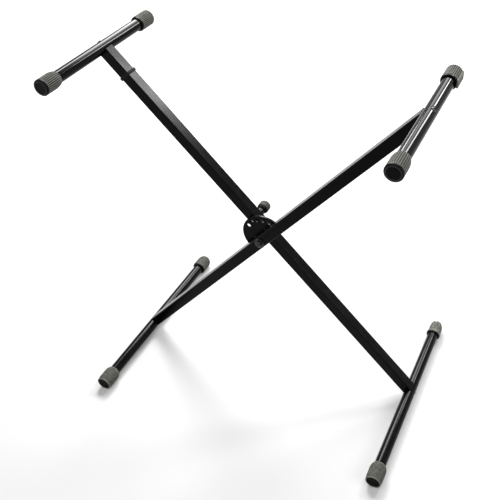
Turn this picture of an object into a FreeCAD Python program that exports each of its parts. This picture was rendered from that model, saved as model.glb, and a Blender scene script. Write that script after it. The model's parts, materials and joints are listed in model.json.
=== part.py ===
"""Folding keyboard stand: two crossed square legs on one pivot, a round bar or foot
tube bolted across each leg end, and a spring pin that locks the fold in a holed disc.

Millimetres. The floor is z = 0, X runs left to right, Y away from the front and Z up.
The origin lies on the floor under the pivot, midway between the two legs.
"""
import FreeCAD, Part
import math
import os
from FreeCAD import Rotation, Vector

# ---------------------------------------------------------------- driving dimensions
# Legs
LEG_TOP_LENGTH = 520.0          # pivot to the axis of the leg's top bar
LEG_FOOT_LENGTH = 517.0         # pivot to the axis of the leg's foot tube
LEG_ANGLE = 47.7                # each leg above the floor, degrees
LEG_SIDE = 25.0                 # square tube, across the flats
LEG_WALL = 1.5
LEG_CORNER = 2.5                # outside corner radius
LEG_GAP = 7.0                   # free space between the two legs
TOP_END_SHORT = 7.4             # leg end to the axis of the top bar
FOOT_END_SHORT = 5.5            # leg end to the axis of the foot tube

# Round tubes across the leg ends
TUBE_DIAMETER = 25.4
TUBE_WALL = 1.5
TOP_BAR_LENGTH = 358.0          # over the caps
TOP_BAR_SHIFT = -15.0           # middle of a top bar, from the middle of its own leg
FOOT_LENGTH = 496.0             # over the caps

# Bolted joint between a leg and its round tube
BOLT_DIAMETER = 8.0
BOLT_HEAD_DIAMETER = 13.0
BOLT_HEAD_HEIGHT = 3.2
BOLT_HEAD_FLAT_DIAMETER = 7.0   # flat round the socket
BOLT_SOCKET = 5.0               # across the flats
BOLT_SOCKET_DEPTH = 2.0
BOLT_WASHER_DIAMETER = 15.0
BOLT_WASHER_THICKNESS = 1.2
DIMPLE_DEPTH = 3.2              # pressed seat for the washer
DIMPLE_DIAMETER = 16.4
NUT_BLOCK_LENGTH = 22.0

# Caps on the top bars: a fluted sleeve over a black core
TOP_CAP_DIAMETER = 34.0
TOP_CAP_LENGTH = 45.0           # with the part of the core that shows
PLUG_HEAD_LENGTH = 5.0          # core of a near cap, closes the tube
PLUG_STEM_LENGTH = 16.0
PLUG_DISH_DEPTH = 1.6
PLUG_RIM = 1.2                  # flat rim round the dish
PLUG_EDGE_ROUND = 3.2
COLLAR_LENGTH = 4.0             # core of a far cap, a ring round the tube
COLLAR_STEP = 0.8               # its rim lies this far inside the sleeve's
COLLAR_ROUND = 1.8
SHOULDER_LENGTH = 15.0          # the near caps draw in towards the tube
SHOULDER_LIP = 1.6              # rubber left round the tube at the thin end
CAP_END_WALL = 3.0
CAP_END_ROUND = 4.0
FLUTES = 28
FLUTE_DEPTH = 0.9
FLUTE_SHARE = 0.42              # of each pitch that is groove
FLUTE_END = 1.4                 # plain ring left at each end of a fluted sleeve
LIP_WIDTH = 17.0                # flat lip on the far right cap
LIP_THICKNESS = 3.2
LIP_OVERHANG = 6.5              # past the mouth of the cap, towards the front
LIP_FACING = 0.0                # degrees above level, seen from the front

# Caps on the foot tubes
FOOT_CAP_DIAMETER = 37.0
FOOT_CAP_LENGTH = 44.0
FOOT_CAP_END_DIAMETER = 34.0    # the near caps narrow a little to their end
FOOT_CAP_TAPER_LENGTH = 14.0
FOOT_SHOULDER_LENGTH = 13.0
FOOT_END_RECESS = 2.2
FOOT_END_RIM = 2.6
FOOT_END_RING_DIAMETER = 19.0
FOOT_END_RING_WIDTH = 2.2
FOOT_END_RING_HEIGHT = 1.2
FAR_FOOT_TIP_DIAMETER = 27.0    # the far left cap ends in a rounded nose
FAR_FOOT_NOSE_LENGTH = 17.0

# Levelling cap on the far right foot, turned by hand
LEVEL_OFFSET = 1.0              # its round is this far off the tube's axis
LEVEL_RIM_LENGTH = 3.0
LEVEL_BODY_DIAMETER = 33.0
LEVEL_TIP_DIAMETER = 24.0
LEVEL_STEP = 1.5                # slope from the rim to the body
LEVEL_FLATS = 7
LEVEL_FLAT_DEPTH = 1.1
LEVEL_SLOT_WIDTH = 5.0
LEVEL_SLOT_DEPTH = 5.0
LEVEL_MARK_DIAMETER = 5.0       # blind hole that shows the setting
LEVEL_MARK_DEPTH = 1.6
LEVEL_SLOT_TURN = -165.0        # from the thick side, degrees
LEVEL_MARK_TURN = -135.0

# Rubber band near the top of the rear leg
BAND_FROM_BAR = 69.0            # top bar's axis to the band's outer end
BAND_LENGTH = 7.0
BAND_THICKNESS = 2.8
BAND_EDGE_ROUND = 0.9

# Pivot
PIVOT_DIAMETER = 8.0
PIVOT_HEXAGON = 13.0            # head and nut, across the flats
PIVOT_HEAD_HEIGHT = 5.3
PIVOT_WASHER_DIAMETER = 24.0
PIVOT_WASHER_THICKNESS = 1.6
PIVOT_NUT_HEIGHT = 7.0
PIVOT_NUT_HEXAGON_HEIGHT = 4.6
PIVOT_NUT_COLLAR_DIAMETER = 11.4
PIVOT_NUT_COLLAR_ROUND = 1.2
PIVOT_END_PROUD = 1.8           # bolt past the nut
PIVOT_END_CHAMFER = 0.9
HEXAGON_CHAMFER = 0.9           # how far the corners are turned back
SPACER_DIAMETER = 22.0
SLEEVE_WALL = 2.8               # crush sleeve in the front leg
BUSH_WALL = 2.4                 # nylon bushes in the rear leg
BUSH_FLANGE_DIAMETER = 21.0
BUSH_FLANGE_THICKNESS = 1.0
BUSH_LENGTH = 10.0

# Locking disc, a little over half round, welded to the front leg
DISC_DIAMETER = 108.0
DISC_THICKNESS = 4.0
DISC_TAIL = 11.0                # its straight edge, below the leg's own axis
DISC_HOLE_CIRCLE = 43.0         # radius
DISC_HOLE_DIAMETER = 9.2
DISC_HOLE_PITCH = 20.0          # degrees
DISC_HOLES_OPENING = 1          # holes past the set one, for a wider stance
DISC_HOLES_CLOSING = 4          # holes before it, down to folded flat
WELD_SPACING = 40.0
WELD_LENGTH = 9.0
WELD_RADIUS = 3.8               # of the rounded bead in the corner

# Spring pin, carried by the rear leg
PIN_DIAMETER = 8.0
PIN_POINT = 1.2                 # chamfer of its point
PIN_COLLAR_DIAMETER = 12.4
PIN_COLLAR_LENGTH = 2.2
PIN_COLLAR_ROOM = 2.0           # collar to the leg's front wall, pin fully in
PIN_ROD_DIAMETER = 5.0
PIN_TRAVEL_IN = 3.0             # into the disc
PIN_TRAVEL_OUT = 6.0            # pulled by hand
HOUSING_DIAMETER = 19.0
HOUSING_FLANGE_DIAMETER = 23.0
HOUSING_FLANGE_THICKNESS = 2.0
HOUSING_LENGTH = 11.5
HOUSING_END_WALL = 2.0
HOUSING_CHAMFER = 1.5
KNOB_DIAMETER = 26.0
KNOB_LENGTH = 21.0
KNOB_FROM_HOUSING = 4.0
KNOB_BEVEL_LENGTH = 3.0
KNOB_BEVEL_FACE_DIAMETER = 19.0
KNOB_GROOVE = 0.8
KNOB_SOCKET_LENGTH = 14.0
KNOB_RIBS = 18
KNOB_RIB_DEPTH = 0.8
KNOB_END_ROUND = 3.0
SPRING_WIRE = 1.2
SPRING_DIAMETER = 10.6          # to the middle of the wire
SPRING_TURNS = 5
SPRING_CHECK_POINTS = 12        # on each arc, for the gap between turns

# Clearances
SEAT_CLEARANCE = 0.1            # parts that sit in or round one another
CAP_CLEARANCE = 0.05            # caps and cores on or in the tube
THREAD_CLEARANCE = 0.05
PIVOT_CLEARANCE = 0.05          # bushes on the pivot bolt
RUNNING_GAP = 0.2               # faces that slide past one another
PIN_CLEARANCE = 0.06            # pin and rod in their guides
POINT_GAP = 0.3                 # pin's point behind the disc
BOLT_HOLE_CLEARANCE = 0.25
LEVEL_CLEARANCE = 0.08          # levelling cap on its tube
CAP_TO_COLLAR_GAP = 0.3

# ---------------------------------------------------------------- sizes that follow
TUBE_RADIUS = TUBE_DIAMETER / 2
TUBE_BORE_RADIUS = TUBE_RADIUS - TUBE_WALL
HALF_LEG = LEG_SIDE / 2
BOLT_RADIUS = BOLT_DIAMETER / 2
BOLT_HOLE_RADIUS = BOLT_RADIUS + BOLT_HOLE_CLEARANCE
DIMPLE_FLOOR = TUBE_RADIUS - DIMPLE_DEPTH
CAP_BORE_RADIUS = TUBE_RADIUS + CAP_CLEARANCE
FOOT_END_WALL = FOOT_END_RECESS + CAP_END_WALL
LEVEL_END_WALL = LEVEL_SLOT_DEPTH + CAP_END_WALL
PIVOT_RADIUS = PIVOT_DIAMETER / 2
BUSH_BORE_RADIUS = PIVOT_RADIUS + PIVOT_CLEARANCE
BUSH_RADIUS = BUSH_BORE_RADIUS + BUSH_WALL
PIVOT_HEIGHT = FOOT_CAP_DIAMETER / 2 + LEG_FOOT_LENGTH * math.sin(math.radians(LEG_ANGLE))
PIVOT_POINT = Vector(0, 0, PIVOT_HEIGHT)
FRONT_LEG_Y = -(LEG_GAP + LEG_SIDE) / 2
REAR_LEG_Y = -FRONT_LEG_Y
FRONT_LEG_DIRECTION = LEG_ANGLE
REAR_LEG_DIRECTION = 180 - LEG_ANGLE

# Stations along Y, from the front: the pivot's stack and the lock
FRONT_FACE_Y = FRONT_LEG_Y - HALF_LEG
DISC_FRONT_Y = FRONT_LEG_Y + HALF_LEG
DISC_BACK_Y = DISC_FRONT_Y + DISC_THICKNESS
REAR_LEG_FRONT_Y = REAR_LEG_Y - HALF_LEG
REAR_LEG_BACK_Y = REAR_LEG_Y + HALF_LEG
SPACER_BACK_Y = REAR_LEG_FRONT_Y - BUSH_FLANGE_THICKNESS - RUNNING_GAP
REAR_WASHER_Y = REAR_LEG_BACK_Y + BUSH_FLANGE_THICKNESS + RUNNING_GAP
PIVOT_HEAD_Y = REAR_WASHER_Y + PIVOT_WASHER_THICKNESS
PIVOT_NUT_Y = FRONT_FACE_Y - PIVOT_WASHER_THICKNESS
PIN_POINT_Y = DISC_BACK_Y + POINT_GAP
PIN_COLLAR_Y = REAR_LEG_FRONT_Y + LEG_WALL + PIN_COLLAR_ROOM + PIN_TRAVEL_IN
HOUSING_END_Y = REAR_LEG_BACK_Y + HOUSING_LENGTH
KNOB_Y = HOUSING_END_Y + KNOB_FROM_HOUSING
SPRING_BACK_Y = HOUSING_END_Y - HOUSING_END_WALL
SPRING_FRONT_Y = PIN_COLLAR_Y + PIN_COLLAR_LENGTH
PIN_RADIUS = PIN_DIAMETER / 2
PIN_ROD_RADIUS = PIN_ROD_DIAMETER / 2
PIN_ROOM_RADIUS = PIN_COLLAR_DIAMETER / 2 + RUNNING_GAP

X_AXIS = Vector(1, 0, 0)
Y_AXIS = Vector(0, 1, 0)
Z_AXIS = Vector(0, 0, 1)
ORIGIN = Vector(0, 0, 0)
CUT_MARGIN = 1.0                # cutting tools reach this far past the faces they cut


# ---------------------------------------------------------------- shared shapes
def rod(radius, start, end, x=0.0, z=0.0):
    """A round bar along Y."""
    return Part.makeCylinder(radius, end - start, Vector(x, start, z), Y_AXIS)


def ring(outer_radius, inner_radius, start, end, x=0.0, z=0.0):
    """A round tube along Y."""
    bore = rod(inner_radius, start - CUT_MARGIN, end + CUT_MARGIN, x, z)
    return rod(outer_radius, start, end, x, z).cut(bore)


def cross_rod(radius, start, end, y=0.0, z=0.0):
    """A round bar along X."""
    return Part.makeCylinder(radius, end - start, Vector(start, y, z), X_AXIS)


def outline_edges(outline):
    """Lines and arcs through the steps of an outline of (radius, y) points.
    A step of four numbers is an arc: a point on it, then its end."""
    edges = []
    here = Vector(outline[0][0], outline[0][1], 0)
    for step in outline[1:] + outline[:1]:
        end = Vector(step[-2], step[-1], 0)
        if len(step) == 4:
            edges.append(Part.Arc(here, Vector(step[0], step[1], 0), end).toShape())
        elif end.distanceToPoint(here) > 1e-6:
            edges.append(Part.makeLine(here, end))
        here = end
    return edges


def turned(outline, angle=360.0):
    """Turn an outline of (radius, y) steps round the Y axis."""
    face = Part.Face(Part.Wire(outline_edges(outline)))
    return face.revolve(ORIGIN, Y_AXIS, angle)


def rounding(radius, end_y, size):
    """An arc step from a round face to the flat face that ends it in +Y."""
    reach = size * math.sqrt(0.5)
    return (radius - size + reach, end_y - size + reach, radius - size, end_y)


def front_rounding(radius, start_y, size):
    """An arc step from the flat face that starts a round face in -Y to that face."""
    reach = size * math.sqrt(0.5)
    return (radius - size + reach, start_y + size - reach, radius, start_y + size)


def shoulder_arc(from_radius, from_y, to_radius, to_y):
    """An arc step that leaves the from point along Y and draws in to the to point."""
    drop = from_radius - to_radius
    length = abs(to_y - from_y)
    arc_radius = (drop * drop + length * length) / (2 * drop)
    half_turn = math.asin(length / arc_radius) / 2
    side = 1 if to_y > from_y else -1
    middle_radius = from_radius - arc_radius * (1 - math.cos(half_turn))
    middle_y = from_y + side * arc_radius * math.sin(half_turn)
    return (middle_radius, middle_y, to_radius, to_y)


def widening_arc(from_radius, from_y, to_radius, to_y):
    """The same arc drawn the other way, from its thin end."""
    middle_radius, middle_y = shoulder_arc(to_radius, to_y, from_radius, from_y)[:2]
    return (middle_radius, middle_y, to_radius, to_y)


def square_face(half_side, corner, x):
    """A square with rounded corners, square to X."""
    flat = half_side - corner
    reach = corner * math.sqrt(0.5)
    edges = []
    for quarter in range(4):
        turn = Rotation(X_AXIS, 90 * quarter)
        line_end = turn.multVec(Vector(x, half_side, flat))
        arc_middle = turn.multVec(Vector(x, flat + reach, flat + reach))
        arc_end = turn.multVec(Vector(x, flat, half_side))
        edges.append(Part.makeLine(turn.multVec(Vector(x, half_side, -flat)), line_end))
        edges.append(Part.Arc(line_end, arc_middle, arc_end).toShape())
    return Part.Face(Part.Wire(edges))


def square_bar(half_side, corner, start, end):
    """A square bar along X with rounded corners."""
    return square_face(half_side, corner, start).extrude(Vector(end - start, 0, 0))


def hexagon_along(axis, across_flats, start, end):
    """A hexagonal bar along one axis."""
    corner_radius = across_flats / math.sqrt(3)
    points = []
    for corner in range(7):
        angle = math.radians(60 * corner)
        if axis == X_AXIS:
            point = Vector(start, corner_radius * math.cos(angle), corner_radius * math.sin(angle))
        else:
            point = Vector(corner_radius * math.cos(angle), start, corner_radius * math.sin(angle))
        points.append(point)
    return Part.Face(Part.makePolygon(points)).extrude(axis * (end - start))


def around_y(shape, degrees):
    """A copy turned about the Y axis through the origin."""
    copy = shape.copy()
    copy.rotate(ORIGIN, Y_AXIS, degrees)
    return copy


def spaced_round(shape, count):
    """Copies of a shape spaced evenly round the Y axis."""
    return Part.makeCompound([around_y(shape, 360.0 * i / count) for i in range(count)])


def moved(shape, x=0.0, y=0.0, z=0.0):
    copy = shape.copy()
    copy.translate(Vector(x, y, z))
    return copy


# ---------------------------------------------------------------- places on the stand
def on_leg(shape, direction, leg_y):
    """From a leg's own axes (X from the pivot to the top bar) to its place."""
    copy = shape.copy()
    copy.rotate(ORIGIN, Y_AXIS, -direction)
    copy.translate(PIVOT_POINT + Vector(0, leg_y, 0))
    return copy


def at_pivot(shape):
    """From axes centred on the pivot, with Y measured from the middle of the stand."""
    return moved(shape, z=PIVOT_HEIGHT)


def at_lock(shape):
    """From axes on the spring pin's own line to its place beside the pivot."""
    turn = math.radians(REAR_LEG_DIRECTION)
    return moved(
        shape,
        x=DISC_HOLE_CIRCLE * math.cos(turn),
        z=PIVOT_HEIGHT + DISC_HOLE_CIRCLE * math.sin(turn),
    )


class LegEnd:
    """Where a round tube crosses the end of a leg.

    Its pieces are drawn on the tube's axis: Y along the tube from the middle of the
    leg, and X away from the leg, which is the side the bolt goes in from."""

    def __init__(self, direction, leg_y, is_foot, near_wall, far_wall):
        self.direction = direction
        self.leg_y = leg_y
        self.is_foot = is_foot
        length = FOOT_LENGTH if is_foot else TOP_BAR_LENGTH
        middle = -leg_y if is_foot else TOP_BAR_SHIFT
        self.near_y = middle - length / 2
        self.far_y = middle + length / 2
        self.tube_start = self.near_y + near_wall
        self.tube_end = self.far_y - far_wall

    def place(self, shape):
        copy = shape.copy()
        if self.is_foot:
            copy.rotate(ORIGIN, Y_AXIS, 180)
            copy.translate(Vector(-LEG_FOOT_LENGTH, 0, 0))
        else:
            copy.translate(Vector(LEG_TOP_LENGTH, 0, 0))
        return on_leg(copy, self.direction, self.leg_y)


FRONT_LEG = (FRONT_LEG_DIRECTION, FRONT_LEG_Y)
REAR_LEG = (REAR_LEG_DIRECTION, REAR_LEG_Y)
RIGHT_BAR = LegEnd(*FRONT_LEG, False, PLUG_HEAD_LENGTH, CAP_END_WALL)
LEFT_BAR = LegEnd(*REAR_LEG, False, PLUG_HEAD_LENGTH, CAP_END_WALL)
LEFT_FOOT = LegEnd(*FRONT_LEG, True, FOOT_END_WALL, FOOT_END_WALL)
RIGHT_FOOT = LegEnd(*REAR_LEG, True, FOOT_END_WALL, LEVEL_END_WALL)


# ---------------------------------------------------------------- legs
def leg_tube():
    """A square tube, saddled at both ends to fit the round tubes."""
    start = -LEG_FOOT_LENGTH + FOOT_END_SHORT
    end = LEG_TOP_LENGTH - TOP_END_SHORT
    outside = square_bar(HALF_LEG, LEG_CORNER, start, end)
    inside = square_bar(
        HALF_LEG - LEG_WALL,
        LEG_CORNER - LEG_WALL,
        start - CUT_MARGIN,
        end + CUT_MARGIN,
    )
    saddle_radius = TUBE_RADIUS + SEAT_CLEARANCE
    reach = HALF_LEG + CUT_MARGIN
    saddles = [
        rod(saddle_radius, -reach, reach, x=LEG_TOP_LENGTH),
        rod(saddle_radius, -reach, reach, x=-LEG_FOOT_LENGTH),
    ]
    return outside.cut([inside] + saddles)


def front_leg_tube():
    hole = rod(PIVOT_RADIUS + BOLT_HOLE_CLEARANCE, -LEG_SIDE, LEG_SIDE)
    return on_leg(leg_tube().cut(hole), *FRONT_LEG)


def rear_leg_tube():
    """The rear leg has holes for the pivot's bushes and for the spring pin."""
    bush_hole = rod(BUSH_RADIUS + SEAT_CLEARANCE, -LEG_SIDE, LEG_SIDE)
    pin_guide = rod(PIN_RADIUS + PIN_CLEARANCE, -LEG_SIDE, 0, x=DISC_HOLE_CIRCLE)
    pin_room = rod(PIN_ROOM_RADIUS, 0, LEG_SIDE, x=DISC_HOLE_CIRCLE)
    tube = leg_tube().cut([bush_hole, pin_guide, pin_room])
    return on_leg(tube, *REAR_LEG)


def rear_leg_band():
    """A rubber band that keeps the folded legs from knocking together."""
    end = LEG_TOP_LENGTH - BAND_FROM_BAR
    start = end - BAND_LENGTH
    outside = square_bar(
        HALF_LEG + BAND_THICKNESS,
        LEG_CORNER + BAND_THICKNESS,
        start,
        end,
    )
    rims = [edge for edge in outside.Edges if abs(edge.BoundBox.XLength) < 1e-6]
    rounded = outside.makeFillet(BAND_EDGE_ROUND, rims)
    inside = square_bar(
        HALF_LEG + CAP_CLEARANCE,
        LEG_CORNER,
        start - CUT_MARGIN,
        end + CUT_MARGIN,
    )
    return on_leg(rounded.cut(inside), *REAR_LEG)


# ---------------------------------------------------------------- round tubes and bolts
def round_tube(leg_end):
    """A round tube with a pressed seat for the bolt's washer."""
    start = leg_end.tube_start
    end = leg_end.tube_end
    outside = rod(TUBE_RADIUS, start, end)
    seat_radius = DIMPLE_DIAMETER / 2
    cup = cross_rod(seat_radius + TUBE_WALL, DIMPLE_FLOOR - TUBE_WALL, TUBE_RADIUS).common(outside)
    tube = ring(TUBE_RADIUS, TUBE_BORE_RADIUS, start, end).fuse(cup).removeSplitter()
    reach = TUBE_RADIUS + CUT_MARGIN
    tools = [
        cross_rod(seat_radius, DIMPLE_FLOOR, reach),
        cross_rod(BOLT_HOLE_RADIUS, -reach, reach),
    ]
    return leg_end.place(tube.cut(tools))


def tube_bolt(leg_end):
    """A button-head bolt with a hexagon socket, from outside the tube into the leg."""
    seat = DIMPLE_FLOOR + BOLT_WASHER_THICKNESS
    tip = -(TUBE_RADIUS + SEAT_CLEARANCE + NUT_BLOCK_LENGTH)
    shank = cross_rod(BOLT_RADIUS, tip, seat)
    head_radius = BOLT_HEAD_DIAMETER / 2
    top = seat + BOLT_HEAD_HEIGHT
    dome = shoulder_arc(head_radius, seat, BOLT_HEAD_FLAT_DIAMETER / 2, top)
    head = turned([(0, seat), (head_radius, seat), dome, (0, top)])
    head.rotate(ORIGIN, Z_AXIS, -90)
    socket = hexagon_along(X_AXIS, BOLT_SOCKET, top - BOLT_SOCKET_DEPTH, top + CUT_MARGIN)
    return leg_end.place(shank.fuse(head).removeSplitter().cut(socket))


def tube_washer(leg_end):
    end = DIMPLE_FLOOR + BOLT_WASHER_THICKNESS
    washer = cross_rod(BOLT_WASHER_DIAMETER / 2, DIMPLE_FLOOR, end)
    hole = cross_rod(BOLT_HOLE_RADIUS, DIMPLE_FLOOR - CUT_MARGIN, end + CUT_MARGIN)
    return leg_end.place(washer.cut(hole))


def nut_block(leg_end):
    """A threaded block that closes the leg's end behind the saddle."""
    front = -(TUBE_RADIUS + SEAT_CLEARANCE)
    back = front - NUT_BLOCK_LENGTH
    half = HALF_LEG - LEG_WALL - SEAT_CLEARANCE
    block = square_bar(half, LEG_CORNER - LEG_WALL, back, front)
    thread = cross_rod(BOLT_RADIUS + THREAD_CLEARANCE, back - CUT_MARGIN, front + CUT_MARGIN)
    return leg_end.place(block.cut(thread))


# ---------------------------------------------------------------- caps of the top bars
def fluted(sleeve, grooved_outline, start, end):
    """Cut lengthwise flutes that follow a sleeve's own outline between two stations.
    grooved_outline gives the steps along the sleeve's surface from start to end."""
    pitch = 360.0 / FLUTES
    angle = pitch * FLUTE_SHARE
    inner = []
    for step in grooved_outline:
        lowered = list(step)
        lowered[-2] -= FLUTE_DEPTH
        if len(step) == 4:
            lowered[0] -= FLUTE_DEPTH
        inner.append(tuple(lowered))
    outside_radius = grooved_outline[0][0] + CUT_MARGIN
    outline = inner + [(outside_radius, end), (outside_radius, start)]
    groove = turned(outline, angle)
    return sleeve.cut(spaced_round(groove, FLUTES))


def near_bar_cap(leg_end):
    """A fluted sleeve that draws in towards the middle of the tube."""
    radius = TOP_CAP_DIAMETER / 2
    start = leg_end.near_y + PLUG_HEAD_LENGTH
    end = leg_end.near_y + TOP_CAP_LENGTH
    shoulder_y = end - SHOULDER_LENGTH
    thin_radius = CAP_BORE_RADIUS + SHOULDER_LIP
    shoulder = shoulder_arc(radius, shoulder_y, thin_radius, end)
    sleeve = turned([
        (CAP_BORE_RADIUS, start),
        (radius, start),
        (radius, shoulder_y),
        shoulder,
        (CAP_BORE_RADIUS, end),
    ])
    groove_start = start + FLUTE_END
    groove_surface = [(radius, groove_start), (radius, shoulder_y), shoulder]
    return leg_end.place(fluted(sleeve, groove_surface, groove_start, end))


def near_bar_plug(leg_end):
    """The black core of a near cap: a dished head and a hollow stem in the tube."""
    radius = TOP_CAP_DIAMETER / 2
    face = leg_end.near_y
    back = face + PLUG_HEAD_LENGTH
    stem_radius = TUBE_BORE_RADIUS - CAP_CLEARANCE
    stem_end = back + PLUG_STEM_LENGTH
    stem_bore = stem_radius - TUBE_WALL
    rim_inner = radius - PLUG_EDGE_ROUND - PLUG_RIM
    return leg_end.place(turned([
        (0, face + PLUG_DISH_DEPTH),
        (rim_inner - PLUG_DISH_DEPTH, face + PLUG_DISH_DEPTH),
        (rim_inner, face),
        (radius - PLUG_EDGE_ROUND, face),
        front_rounding(radius, face, PLUG_EDGE_ROUND),
        (radius, back),
        (stem_radius, back),
        (stem_radius, stem_end),
        (stem_bore, stem_end),
        (stem_bore, back),
        (0, back),
    ]))


def far_bar_sleeve(leg_end):
    """The fluted sleeve of a far cap, closed and rounded at its outer end."""
    radius = TOP_CAP_DIAMETER / 2
    end = leg_end.far_y
    start = end - TOP_CAP_LENGTH + COLLAR_LENGTH
    inner_end = end - CAP_END_WALL
    round_start = end - CAP_END_ROUND
    sleeve = turned([
        (0, end),
        (0, inner_end),
        (CAP_BORE_RADIUS, inner_end),
        (CAP_BORE_RADIUS, start),
        (radius, start),
        (radius, round_start),
        rounding(radius, end, CAP_END_ROUND),
    ])
    groove_start = start + FLUTE_END
    groove_surface = [(radius, groove_start), (radius, round_start)]
    return fluted(sleeve, groove_surface, groove_start, round_start)


def far_bar_cap(leg_end):
    return leg_end.place(far_bar_sleeve(leg_end))


def far_bar_cap_with_lip(leg_end):
    """The far right cap also has a flat lip on its outer side, past its mouth."""
    radius = TOP_CAP_DIAMETER / 2
    end = leg_end.far_y
    mouth = end - TOP_CAP_LENGTH + COLLAR_LENGTH
    start = mouth - LIP_OVERHANG
    lip_end = end - CAP_END_ROUND
    inner = radius - LIP_THICKNESS / 2
    lip = Part.makeBox(
        LIP_THICKNESS,
        lip_end - start,
        LIP_WIDTH,
        Vector(inner, start, -LIP_WIDTH / 2),
    )
    side_edges = [edge for edge in lip.Edges if edge.BoundBox.XLength > LIP_THICKNESS / 2]
    lip = lip.makeFillet(LIP_THICKNESS / 2, side_edges)
    clear_of_collar = rod(radius - COLLAR_STEP + SEAT_CLEARANCE, start - CUT_MARGIN, mouth)
    lip = around_y(lip.cut(clear_of_collar), leg_end.direction - LIP_FACING)
    return leg_end.place(far_bar_sleeve(leg_end).fuse(lip).removeSplitter())


def collar(leg_end, cap_radius, cap_length, gap=0.0):
    """The black core of a far cap, which shows as a rounded ring at its mouth."""
    start = leg_end.far_y - cap_length
    mouth = start + COLLAR_LENGTH - gap
    radius = cap_radius - COLLAR_STEP
    return leg_end.place(turned([
        (CAP_BORE_RADIUS, mouth),
        (CAP_BORE_RADIUS, start),
        (radius - COLLAR_ROUND, start),
        front_rounding(radius, start, COLLAR_ROUND),
        (radius, mouth),
    ]))


def far_bar_collar(leg_end):
    return collar(leg_end, TOP_CAP_DIAMETER / 2, TOP_CAP_LENGTH)


# ---------------------------------------------------------------- caps of the feet
def near_foot_cap(leg_end):
    """A barrel cap with a curved shoulder and a ring in its recessed end."""
    radius = FOOT_CAP_DIAMETER / 2
    face = leg_end.near_y
    end = face + FOOT_CAP_LENGTH
    shoulder_y = end - FOOT_SHOULDER_LENGTH
    taper_y = face + FOOT_CAP_TAPER_LENGTH
    thin_radius = CAP_BORE_RADIUS + SHOULDER_LIP
    face_radius = FOOT_CAP_END_DIAMETER / 2
    rim_inner = face_radius - FOOT_END_RIM
    recess = face + FOOT_END_RECESS
    ring_outer = FOOT_END_RING_DIAMETER / 2
    ring_inner = ring_outer - FOOT_END_RING_WIDTH
    ring_face = recess - FOOT_END_RING_HEIGHT
    return leg_end.place(turned([
        (0, leg_end.tube_start),
        (CAP_BORE_RADIUS, leg_end.tube_start),
        (CAP_BORE_RADIUS, end),
        (thin_radius, end),
        widening_arc(thin_radius, end, radius, shoulder_y),
        (radius, taper_y),
        shoulder_arc(radius, taper_y, face_radius, face),
        (rim_inner, face),
        (rim_inner, recess),
        (ring_outer, recess),
        (ring_outer, ring_face),
        (ring_inner, ring_face),
        (ring_inner, recess),
        (0, recess),
    ]))


def far_foot_cap(leg_end):
    """A cap whose outer end draws in to a rounded nose."""
    radius = FOOT_CAP_DIAMETER / 2
    end = leg_end.far_y
    start = end - FOOT_CAP_LENGTH + COLLAR_LENGTH
    nose_y = end - FAR_FOOT_NOSE_LENGTH
    tip_radius = FAR_FOOT_TIP_DIAMETER / 2
    return leg_end.place(turned([
        (0, end),
        (0, leg_end.tube_end),
        (CAP_BORE_RADIUS, leg_end.tube_end),
        (CAP_BORE_RADIUS, start),
        (radius, start),
        (radius, nose_y),
        shoulder_arc(radius, nose_y, tip_radius, end - CAP_END_ROUND),
        rounding(tip_radius, end, CAP_END_ROUND),
    ]))


def left_foot_collar(leg_end):
    return collar(leg_end, FOOT_CAP_DIAMETER / 2, FOOT_CAP_LENGTH)


def right_foot_collar(leg_end):
    return collar(leg_end, TOP_CAP_DIAMETER / 2, FOOT_CAP_LENGTH, CAP_TO_COLLAR_GAP)


def levelling_cap(leg_end):
    """An eccentric cap: turned on its tube, it raises or lowers that foot."""
    end = leg_end.far_y
    start = end - FOOT_CAP_LENGTH + COLLAR_LENGTH
    rim_radius = FOOT_CAP_DIAMETER / 2 - LEVEL_OFFSET
    body_radius = LEVEL_BODY_DIAMETER / 2
    rim_end = start + LEVEL_RIM_LENGTH
    body_start = rim_end + LEVEL_STEP
    nose_y = end - FAR_FOOT_NOSE_LENGTH
    body = turned([
        (0, end),
        (0, start),
        (rim_radius, start),
        (rim_radius, rim_end),
        (body_radius, body_start),
        (body_radius, nose_y),
        shoulder_arc(body_radius, nose_y, LEVEL_TIP_DIAMETER / 2, end),
    ])
    flat_x = body_radius - LEVEL_FLAT_DEPTH
    flat = Part.makeBox(
        LEVEL_FLAT_DEPTH + CUT_MARGIN,
        end - body_start,
        LEVEL_BODY_DIAMETER,
        Vector(flat_x, body_start + LEVEL_STEP, -body_radius),
    )
    slot = Part.makeBox(
        body_radius,
        LEVEL_SLOT_DEPTH + CUT_MARGIN,
        LEVEL_SLOT_WIDTH,
        Vector(0, end - LEVEL_SLOT_DEPTH, -LEVEL_SLOT_WIDTH / 2),
    )
    mark = cross_rod(
        LEVEL_MARK_DIAMETER / 2,
        flat_x - LEVEL_MARK_DEPTH,
        body_radius + CUT_MARGIN,
        y=(body_start + nose_y) / 2,
    )
    bore = rod(TUBE_RADIUS + LEVEL_CLEARANCE, start - CUT_MARGIN, leg_end.tube_end)
    body = body.cut(spaced_round(flat, LEVEL_FLATS))
    body = body.cut([around_y(slot, LEVEL_SLOT_TURN), around_y(mark, LEVEL_MARK_TURN)])
    body = moved(body, x=LEVEL_OFFSET).cut(bore)
    thick_side_down = 270 + leg_end.direction
    return leg_end.place(around_y(body, thick_side_down))


# ---------------------------------------------------------------- pivot
def turned_back_corners(face_y, inward):
    """A round tool that leaves a hexagon's corners turned back at the face."""
    corner_radius = PIVOT_HEXAGON / math.sqrt(3)
    back = face_y + inward * (PIVOT_HEAD_HEIGHT + CUT_MARGIN)
    return turned([
        (0, face_y),
        (PIVOT_HEXAGON / 2, face_y),
        (corner_radius + CUT_MARGIN, face_y + inward * (HEXAGON_CHAMFER + CUT_MARGIN)),
        (corner_radius + CUT_MARGIN, back),
        (0, back),
    ])


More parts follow.
